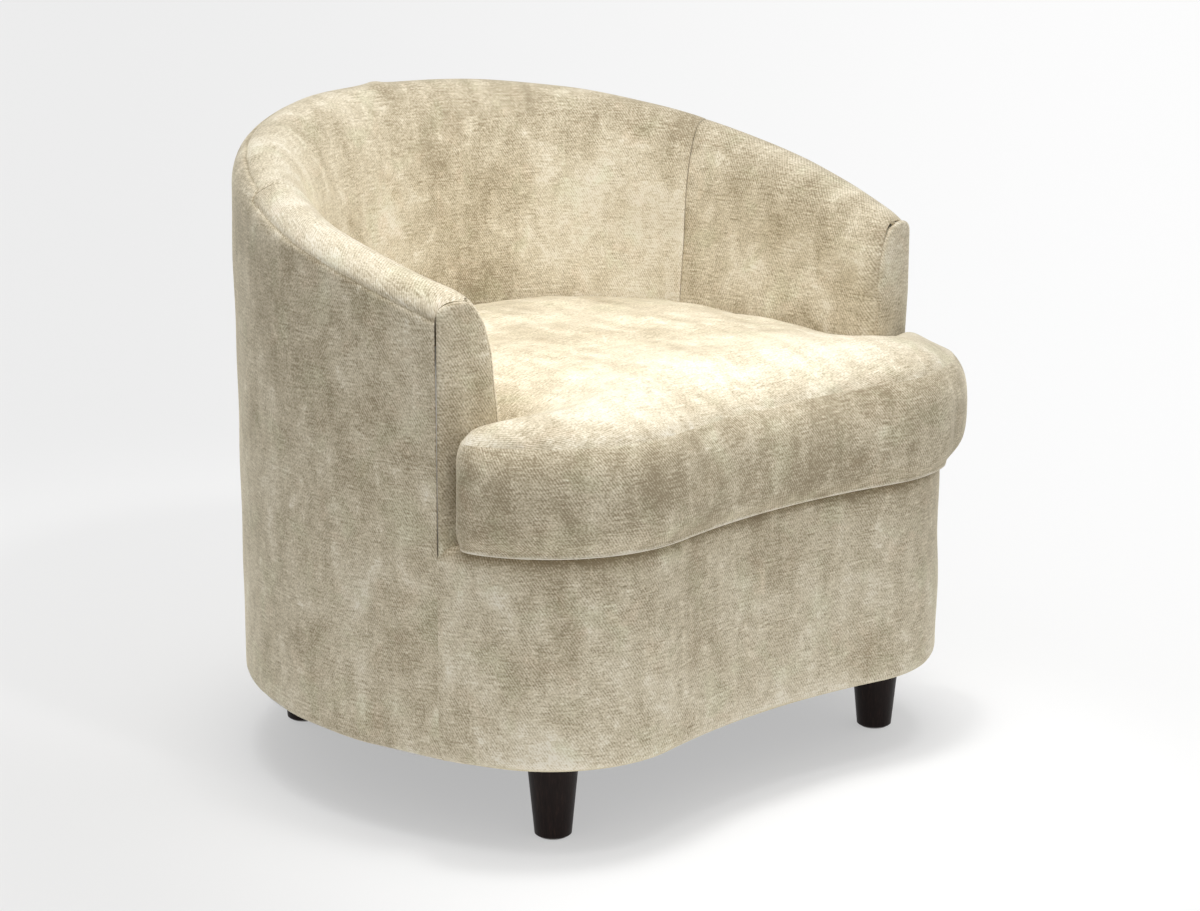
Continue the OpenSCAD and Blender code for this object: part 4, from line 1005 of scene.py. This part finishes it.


# The last two entries are the painted light and shade on the face and on the rim: places along, and tones
# there.
inside_panel("inside_back", "inside_back_cover", -INSIDE_SEAM + SLIT, INSIDE_SEAM - SLIT, 7,
             ((-0.05, 0.04, 0.15, 0.21, 0.285), (0.12, -0.08, -0.07, 0.10, 0.30)),
             ((-0.12, 0.04), (0.08, -0.12)))
inside_panel("inside_arm_left", "inside_arm_cover_left", -ARM_END, -INSIDE_SEAM - SLIT, 8,
             ((0,), (0.14,)), ((0,), (0.12,)))
inside_panel("inside_arm_right", "inside_arm_cover_right", INSIDE_SEAM + SLIT, ARM_END, 9,
             ((0,), (0.05,)), ((0,), (-0.05,)))

# Arm fronts: a shaped panel of the same cloth on each arm, sewn all round to the inside and outside
# covers over a soft pad, so that it stands a little proud and rounds off toward its seams.
PROUD, BULGE, EAR_BULGE, EAR_TOP = 0.0016, 0.0034, 0.0035, 0.43


def arm_front(side, name, seed):
    """A panel in the flat face at the arm's end. Its rows are level chords from the outer side to the
    inner side, from below the deck up to the crest; it stands out by half a wave across, a little more
    above the cushion's ear."""
    edge, inward, outer, inner = arm_chords(side, DECK_Z - 0.02, 0)
    ahead = FACE_AHEAD * (side, 1)
    rows = sewn_steps(0.27, 0.0035) / 0.27
    outer, inner = (np.stack([np.interp(rows, np.linspace(0, 1, 200), line[:, k]) for k in (0, 1)], -1)
                    for line in (outer, inner))
    width = sewn_steps(0.1, 0.003) / 0.1
    chord = outer[None] + (inner - outer)[None] * width[:, None, None]
    bulge = (np.sin(width ** 0.75 * math.pi) ** 0.6)[:, None] * np.clip((1 - rows) / 0.06, 0, 1) ** 0.5
    above_ear = np.clip((chord[..., 1] - EAR_TOP) / 0.05, 0, 1)
    out = PROUD + (BULGE + EAR_BULGE * above_ear) * bulge
    grid = upright(edge + inward * chord[..., :1] + ahead * out[..., None], chord[..., 1])
    uv = spread(side * -chord[..., 0], chord[..., 1]) + seed * CUT_STEP
    if side > 0:
        grid, uv = grid[::-1], uv[::-1]
    # Painted light: the right arm's front is lifted paler and the left one darkened a little.
    upholster(f"arm_front_{name}", f"arm_front_cover_{name}", grid, uv, (1, 1, 0, 1), 0.0006, seed,
              0.02 + 0.04 * side, dip=0.0019)


arm_front(-1, "left", 11)
arm_front(1, "right", 12)

# Front of the base: one serpentine panel from arm seam to arm seam. It curls under the base, stands
# up over the padding and folds back over a soft lip to meet the deck cloth under the cushion. Painted
# light makes it paler toward the foot and on its curl, a painted sheen lightens the right corner, and a
# painted shadow darkens it close under the cushion.
foot_depth, foot_height = foot_curl()
lip_turn = np.radians(np.linspace(0, 90, 9))
lip_depth = np.concatenate((foot_depth, LIP_R * (1 - np.cos(lip_turn)), [LIP_W]))
lip_height = np.concatenate((foot_height, DECK_Z - LIP_R + LIP_R * np.sin(lip_turn), [DECK_Z]))
front_grid = along_front(plan, lip_depth, lip_height)
front_grid = eased_rows(refit_rows(front_grid, sewn_fractions(front_grid)), 2)
front_across = runs(plan[:, None, :2].repeat(2, 1))[0][:, :1]
front_uv = spread(front_across, runs(front_grid)[1]) + 0.11
above_foot, corner_painted_sheen = front_grid[..., 2] - BASE_Z, np.clip((front_grid[..., 0] - 0.29) / 0.04, 0, 1)
painted_shadow_under_cushion = bell(DECK_Z - 0.005 - front_grid[..., 2], 0.006)
front_painted_shading = 0.10 - 0.55 * above_foot + 0.12 * bell(above_foot, 0.02) + 0.22 * corner_painted_sheen - 0.26 * painted_shadow_under_cushion
upholster("front_base", "front_base_cover", front_grid, front_uv, (0.1, 0.1, 0, 0), 0.0010, 14, front_painted_shading)

# Dust cover: thin black non-woven cloth stapled under the base, with the legs' bolts through it.
DUST_IN, DUST_T = 0.0105, 0.0008
dust_look = fibrous("dust_cloth", (0.035, 0.034, 0.033), (0.012, 0.012, 0.012), 1300, (1, 1, 1), 0.9, 0.15)
front_edge = (plan[:, :2] + plan[:, 2:] * DUST_IN)[plan[:, 0] >= 0][::-1]
dust_line = evenly(mirrored_loop(np.concatenate((
    arc(0, BACK_Y, BACK_R - DUST_IN, math.pi / 2, 0, 90),
    arc(SIDE_X, BACK_Y, SIDE_R - DUST_IN, 0, -SEAM_TURN, 20)[1:-1], front_edge))), 300, closed=True)
dust_sheet = slab("dust_sheet", dust_line, BASE_Z + 0.0001, BASE_Z + DUST_T, dust_look, 0.0003, 0.016)
stands_for(dust_sheet, "chair", "dust_cloth", 1.0, "dust_cover")

# Seat cushion: a loose T-cushion with a top panel, a boxing and a bottom panel of the cover cloth, sewn
# round a foam core and a fibre topper. The cover is one closed mesh while it is blown up as cloth; its
# three panels are then cut apart at their seams.
CUSHION_Z = DECK_Z + GAP
BOXING_H, CROWN_H, CROWN_RAMP = 0.110, 0.034, 0.130
EAR_SOONER, EAR_LOWER = 0.112, 0.020
OVERHANG, CUSHION_GAP, EAR_GAP, EAR_R = 0.012, 0.006, 0.002, 0.024
WELL_X = WELL_R - CUSHION_GAP
SEAM_POINT = tub_plan(np.array([ARM_END]))[0][0]
EAR_BACK = 2 * CLOTH_T + 2 * GAP + EAR_GAP


def cushion_outline(count):
    """The cushion's plan, anticlockwise, as one even closed line: round the well, along its straight
    sides, out behind each ear, round the ear, and along the serpentine front, which stands proud of
    the base."""
    from_side = SEAM_POINT + (EAR_BACK + EAR_R) * FACE_AHEAD - (SIDE_X, BACK_Y)
    reach = SIDE_R + OVERHANG - EAR_R
    dot = from_side @ FACE_ACROSS
    run = -dot - math.sqrt(dot ** 2 - from_side @ from_side + reach ** 2)
    ear = np.array((SIDE_X, BACK_Y)) + from_side + run * FACE_ACROSS
    side_turn = math.asin((BACK_Y - ear[1]) / reach)
    notch = SEAM_POINT + EAR_BACK * FACE_AHEAD
    notch = notch + (notch[0] - WELL_X) / math.cos(PANEL_TURN) * FACE_ACROSS
    half = np.concatenate((
        arc(0, BACK_Y, WELL_X, math.pi / 2, 0, 200), [notch],
        arc(*ear, EAR_R, math.pi / 2 + PANEL_TURN, -side_turn, 40),
        arc(SIDE_X, BACK_Y, SIDE_R + OVERHANG, -side_turn, -CORNER_TURN, 30),
        arc(CORNER_X, BACK_Y - CORNER_UP, CORNER_R + OVERHANG, -CORNER_TURN, -math.pi / 2 - DIP_TURN, 120),
        arc(0, DIP_Y, DIP_R - OVERHANG, math.pi / 2 - DIP_TURN, math.pi / 2, 60)))
    return rounded(evenly(mirrored_loop(half), count, closed=True), 2)[::-1]


def crown(distance, across):
    """The top's rise at a distance from its seam: a soft shoulder, up to a level middle. The chair's
    right ear is packed fuller, and rises sooner."""
    on_ear = np.clip((across - 0.25) / 0.08, 0, 1)
    share = np.clip(distance / (CROWN_RAMP - EAR_SOONER * on_ear), 0, 1)
    return (CROWN_H - EAR_LOWER * on_ear) * (1 - (1 - share) ** 2.6) ** 0.78


# Boxing: how far it stands out of the plan at each share of its height. It bellies out where it is free,
# along the front and the ears, and is drawn in at its two seams; in the well it is held upright. The
# bottom seam's turned edges make a small lip. A scale of 0 to 1 says how free each place is.
RIM_COUNT, LEVELS, SKIN = 320, 19, 0.0005
FREE_FROM, FREE_BLEND = -0.212, 0.035
outline = cushion_outline(RIM_COUNT)
outward = outward_of(outline)
free = np.clip((FREE_FROM - outline[:, 1]) / FREE_BLEND, 0, 1)
behind_ear = np.clip((np.abs(outward[:, 1]) - 0.8) / 0.2, 0, 1) * (outward[:, 1] > 0)
free = rounded(free * (1 - behind_ear * 0.9), 4)
levels = (1 - np.cos(np.linspace(0, math.pi, LEVELS))) / 2
BELLY, DRAWN_UNDER, DRAWN_OVER, LIP, FULL_EAR = 0.012, 0.010, 0.004, 0.006, 0.009
swelling = 1 - np.abs((levels - 0.48) / 0.52) ** 2.6
under_curve = np.clip(1 - levels / 0.20, 0, 1) ** 2
seam_lip = bell(levels * BOXING_H, 0.0022)
full_ear = np.clip((outline[:, 0] - 0.26) / 0.06, 0, 1) * free
proud = (BELLY * swelling[:, None] * free
         - DRAWN_UNDER * under_curve[:, None] * (0.35 + 0.65 * free + 0.6 * full_ear)
         - DRAWN_OVER * np.clip((levels - 0.8) / 0.2, 0, 1)[:, None] ** 2
         + LIP * seam_lip[:, None] * (free - 0.5 * full_ear)
         + FULL_EAR * (1 - np.abs((levels - 0.65) / 0.65) ** 4)[:, None] * full_ear)
ring_heights = CUSHION_Z + SKIN + levels * (BOXING_H - 2 * SKIN)
sides = upright(outline + outward * proud[..., None], ring_heights[:, None]).reshape(-1, 3)

rim = sides[:RIM_COUNT, :2]
lattice, triangles = filled(rim, 0.0075)
rim_far = distances(lattice, rim)
to_rim, rim_near = rim_far.min(1), rim_far.argmin(1)
crowned = np.c_[lattice, CUSHION_Z + BOXING_H - SKIN + crown(to_rim + 0.002, lattice[:, 0])]
under = np.c_[lattice, np.full(len(lattice), CUSHION_Z + SKIN)]
bag = np.concatenate((sides, crowned, under))
side_count, panel_count = len(sides), len(lattice)
on_top = slice(side_count, side_count + panel_count)
top_index = np.arange(side_count - RIM_COUNT, side_count + panel_count)
under_index = np.concatenate((np.arange(RIM_COUNT), side_count + panel_count + np.arange(panel_count)))
boxing_faces = quads(LEVELS, RIM_COUNT, around=True)[:, ::-1]
top_faces, under_faces = top_index[triangles], under_index[triangles[:, ::-1]]
FRAMES, WELL_FRONT = 20, -0.205


def blown_up(points, faces):
    """The closed cover blown up from inside as cloth, with its bottom held on the deck."""
    blank = show("cushion_blank", points, faces)
    hold = blank.vertex_groups.new(name="held")
    hold.add(np.unique(under_faces).tolist(), 1.0, "REPLACE")
    cloth = blank.modifiers.new("cloth", "CLOTH")
    for setting, value in (
            ("quality", 6), ("mass", 0.25), ("tension_stiffness", 16), ("compression_stiffness", 16),
            ("shear_stiffness", 6), ("bending_stiffness", 0.6), ("use_pressure", True),
            ("uniform_pressure_force", 4), ("vertex_group_mass", "held")):
        setattr(cloth.settings, setting, value)
    cloth.settings.effector_weights.gravity = 0
    cloth.collision_settings.use_collision = False
    cloth.point_cache.frame_start, cloth.point_cache.frame_end = 1, FRAMES
    for step in range(1, FRAMES + 1):
        scene.frame_set(step)
    settled = blank.evaluated_get(bpy.context.evaluated_depsgraph_get())
    moved = np.empty(len(points) * 3)
    settled.data.vertices.foreach_get("co", moved)
    bpy.data.objects.remove(blank)
    scene.frame_set(1)
    return moved.reshape(-1, 3)


def kept_clear(points):
    """The cushion's points held off what is round it: the deck below, the well behind and beside it, and
    the arm fronts behind its ears."""
    out = points.copy()
    out[:, 2] = np.maximum(out[:, 2], CUSHION_Z)
    in_well = out[:, 1] > WELL_FRONT
    centred = out[:, :2] - (0, BACK_Y)
    radius = np.linalg.norm(centred, axis=1)
    back = in_well & (centred[:, 1] > 0) & (radius > WELL_X)
    out[back, :2] = (0, BACK_Y) + centred[back] * (WELL_X / radius[back])[:, None]
    beside = in_well & (centred[:, 1] <= 0)
    out[beside, 0] = np.clip(out[beside, 0], -WELL_X, WELL_X)
    for side in (-1, 1):
        ahead = FACE_AHEAD * (side, 1)
        behind = (out[:, :2] - SEAM_POINT * (side, 1)) @ ahead
        ear = (side * out[:, 0] > WELL_X) & (behind < EAR_BACK)
        out[ear, :2] += (EAR_BACK - behind[ear])[:, None] * ahead
    return out


# The cloth's own movement is large beside the foam's, so only a share of it is kept.
MOVE_CAP, MOVE_KEPT = 0.026, 0.30
move = blown_up(bag, list(boxing_faces) + list(top_faces) + list(under_faces)) - bag
far = np.linalg.norm(move, axis=1, keepdims=True)
settled = bag + MOVE_KEPT * move * np.minimum(1, MOVE_CAP / np.maximum(far, 1e-9))

# Use has left low hills and dents in the top, and the seam's stitches pull shallow dents into both
# panels beside it.
HILL, SMALL_HILL, PULL = 0.0014, 0.0008, 0.0006
girth = np.linalg.norm(outline - np.roll(outline, 1, 0), axis=1).sum()
around_run = np.arange(RIM_COUNT + 1) / RIM_COUNT * girth
around = around_run[:RIM_COUNT]
top_hills = swell(lattice, 0.085, 61) * HILL + swell(lattice, 0.038, 62) * SMALL_HILL
pull = np.sin(around / 0.0145 + 2.1 * np.sin(around / 0.083)) * 0.5 + 0.5
pull = pull * (0.6 + 0.4 * np.sin(around / 0.047 + 1.3))
settled[on_top, 2] += top_hills * np.clip(to_rim / 0.04, 0, 1)
settled[on_top, 2] -= PULL * pull[rim_near] * bell(to_rim - 0.008, 0.009)
side_hills = swell(spread(around, levels[:, None] * BOXING_H), 0.06, 63)
side_pull = bell((1 - levels[:, None]) * BOXING_H - 0.009, 0.010) * pull
inset = (HILL * side_hills * np.sin(levels * math.pi)[:, None] - PULL * side_pull) * (0.3 + 0.7 * free)
settled[:side_count, :2] += (outward[None] * inset[..., None]).reshape(-1, 2)
settled = kept_clear(settled)


def cushion_panel(name, points, faces, uv, painted_shading, node):
    """One of the cushion's cover panels, subdivided once."""
    piece = show(name, points, faces, uv)
    write_painted_shading(piece, painted_shading)
    finer = piece.modifiers.new("finer", "SUBSURF")
    finer.levels = finer.render_levels = 1
    finer.boundary_smooth = "PRESERVE_CORNERS"
    covered(piece)
    stands_for(piece, "cushion", "velvet", 0.8, node)


def from_zero(faces, index):
    """Faces renumbered to a panel's own points."""
    number = np.full(len(bag), -1)
    number[index] = np.arange(len(index))
    return list(number[faces])


# The cloth's places allow for the crown's extra length. Painted light makes the top paler toward the
# front and its two ears, painted highlights run along the boxing's bottom lip and its top seam, and
# painted shade darkens the boxing.
crown_run = np.linspace(0, CROWN_RAMP, 200)
crown_step = np.hypot(np.diff(crown_run), np.diff(crown(crown_run, 0))) - np.diff(crown_run)
slack = np.interp(to_rim, crown_run[1:], np.cumsum(crown_step[::-1])[::-1], right=0)
top_uv = np.concatenate((outline + outward * crown_step.sum(), lattice + outward[rim_near] * slack[:, None]))
top_x, top_y = np.concatenate((outline, lattice)).T
by_front = np.clip((-0.13 - top_y) / 0.12, 0, 1)
off_seam = np.clip((np.concatenate((np.zeros(RIM_COUNT), to_rim)) - 0.012) / 0.03, 0.25, 1)
paler = 0.16 - 0.25 * top_x + 0.25 * np.clip((top_x - 0.24) / 0.06, 0, 1)
cushion_panel("cushion_top", settled[top_index], from_zero(top_faces, top_index),
              top_uv + 0.53, 0.04 + paler * by_front * off_seam, "cushion_top_panel")
cushion_panel("cushion_bottom", settled[under_index], from_zero(under_faces, under_index),
              bag[under_index][:, :2] + 1.7, 0.0, "cushion_bottom_panel")
boxing_points = settled[:side_count].reshape(LEVELS, RIM_COUNT, 3)
boxing_points = np.concatenate((boxing_points, boxing_points[:, :1]), 1)
boxing_uv = spread(around_run, runs(boxing_points)[0]) + 2.9
lip_painted_highlight, top_seam_painted_highlight = bell(levels * BOXING_H, 0.0016), bell((1 - levels) * BOXING_H, 0.002)
cushion_panel("cushion_boxing_band", boxing_points, list(quads(LEVELS, RIM_COUNT + 1)[:, ::-1]), boxing_uv,
              np.repeat(0.75 * lip_painted_highlight + 0.10 * top_seam_painted_highlight - 0.16, RIM_COUNT + 1), "cushion_boxing")

# The cushion's filling: a foam core in the boxing's height and a crowned fibre topper on it. Both follow
# the cover from inside.
COVER_CLEAR, TOP_CLEAR, TOPPER_EDGE = 0.005, 0.0045, CUSHION_Z + 0.100
stands_in = ((outline[None] - boxing_points[:, :-1, :2]) * outward[None]).sum(-1)[1:-1].max(0)
fill_inset = np.max([np.roll(stands_in, k) for k in range(-3, 4)], 0) + COVER_CLEAR
fill_inset = np.maximum(rounded(fill_inset, 6), 0.008)
core_line = outline - outward * fill_inset[:, None]
to_outline = distances(core_line, outline).min(1)
core_line = evenly(core_line[to_outline > 0.93 * fill_inset], 280, closed=True)
top_points = settled[on_top]


def below_top(places):
    """Rise of the topper over its edge: up to just below the cover's top there."""
    far = ((places[:, None] - top_points[None, :, :2]) ** 2).sum(-1)
    near = np.argsort(far, 1)[:, :4]
    share = 1 / (np.take_along_axis(far, near, 1) + 1e-6)
    height = (top_points[near, 2] * share).sum(1) / share.sum(1)
    return np.maximum(height - TOP_CLEAR - TOPPER_EDGE, 0)


core = slab("foam_core", core_line, CUSHION_Z + 0.006, CUSHION_Z + 0.092, foam, 0.005, 0.016)
topper = slab("fibre_topper", core_line, CUSHION_Z + 0.0935, TOPPER_EDGE, wadding, 0.003, crowned=below_top)
stands_for(core, "cushion", "foam", 0.9, "cushion_foam")
stands_for(topper, "cushion", "wadding", 0.9, "cushion_topper")

# Zip: a woven tape across the back of the boxing with a nylon coil sewn along its middle. The metal
# slider and its pull are the frame's own pieces and ride along the coil.
ZIP_TURN = math.radians(68)
ZIP_Z = CUSHION_Z + BOXING_H / 2
TAPE_R, TAPE_T, TAPE_H = WELL_X + GAP, 0.0006, 0.026


def zip_ring(rows, radii, heights):
    """Sections round the zip's arc, each a closed line of radii and heights about the zip's middle."""
    turn = np.linspace(-ZIP_TURN, ZIP_TURN, rows)[:, None]
    return spread(radii * np.sin(turn), BACK_Y + radii * np.cos(turn), ZIP_Z + heights)


tape_look = new_look("zip_tape_weave")
tape_place = tape_look.cloth()
tape_rib = tape_look.wave(tape_look.part(tape_place, 0) + tape_look.part(tape_place, 1), 0.0012)
tape_tone = tape_rib * 0.3 + tape_look.noise(tape_place, 700, 3, 0.6) * 0.6 + 0.1
tape_look.surface({
    "Base Color": tape_look.mix(tape_tone, (0.24, 0.20, 0.15), (0.40, 0.35, 0.27)), "Roughness": 0.8,
    "Specular IOR Level": 0.25, "Normal": tape_look.bump(0.6, 0.0002, tape_rib)})
tape_radii = TAPE_R + TAPE_T * np.array((0.05, 0.05, 0.95, 0.95))
tape_heights = TAPE_H / 2 * np.array((-1, 1, 1, -1))
tape_run = np.linspace(0, 2 * ZIP_TURN * TAPE_R, 240)[:, None]
tape_uv = spread(tape_run, tape_heights)
tape = bar("tape_band", zip_ring(240, tape_radii, tape_heights), tape_look.owner, tape_uv)
nylon = new_look("coil_nylon")
nylon_tone = nylon.noise(nylon.place(), 900, 2, 0.5)
nylon.surface({"Base Color": nylon.mix(nylon_tone, (0.26, 0.22, 0.16), (0.38, 0.33, 0.25)), "Roughness": 0.4})
COIL_R, COIL_T, COIL_H, TOOTH = TAPE_R + TAPE_T, 0.0015, 0.005, 0.0021
teeth = int(2 * ZIP_TURN * COIL_R / TOOTH)
rows = teeth * 4 + 1
round_turn = np.linspace(0, 2 * math.pi, 11)[:-1]
tooth_wave = (0.5 + 0.5 * np.cos(np.linspace(0, teeth * 2 * math.pi, rows)))[:, None]
coil_radii = COIL_R - 0.0001 + COIL_T / 2 * (1 + np.cos(round_turn) * (0.62 + 0.36 * tooth_wave))
coil_heights = COIL_H / 2 * np.sin(round_turn) * (0.80 + 0.19 * tooth_wave)
coil = bar("coil", zip_ring(rows, coil_radii, coil_heights), nylon.owner, np.zeros((rows, 10, 2)))
stands_for(joined("zip_band", [tape, coil]), "cushion", None, 1.0, "zip_tape")
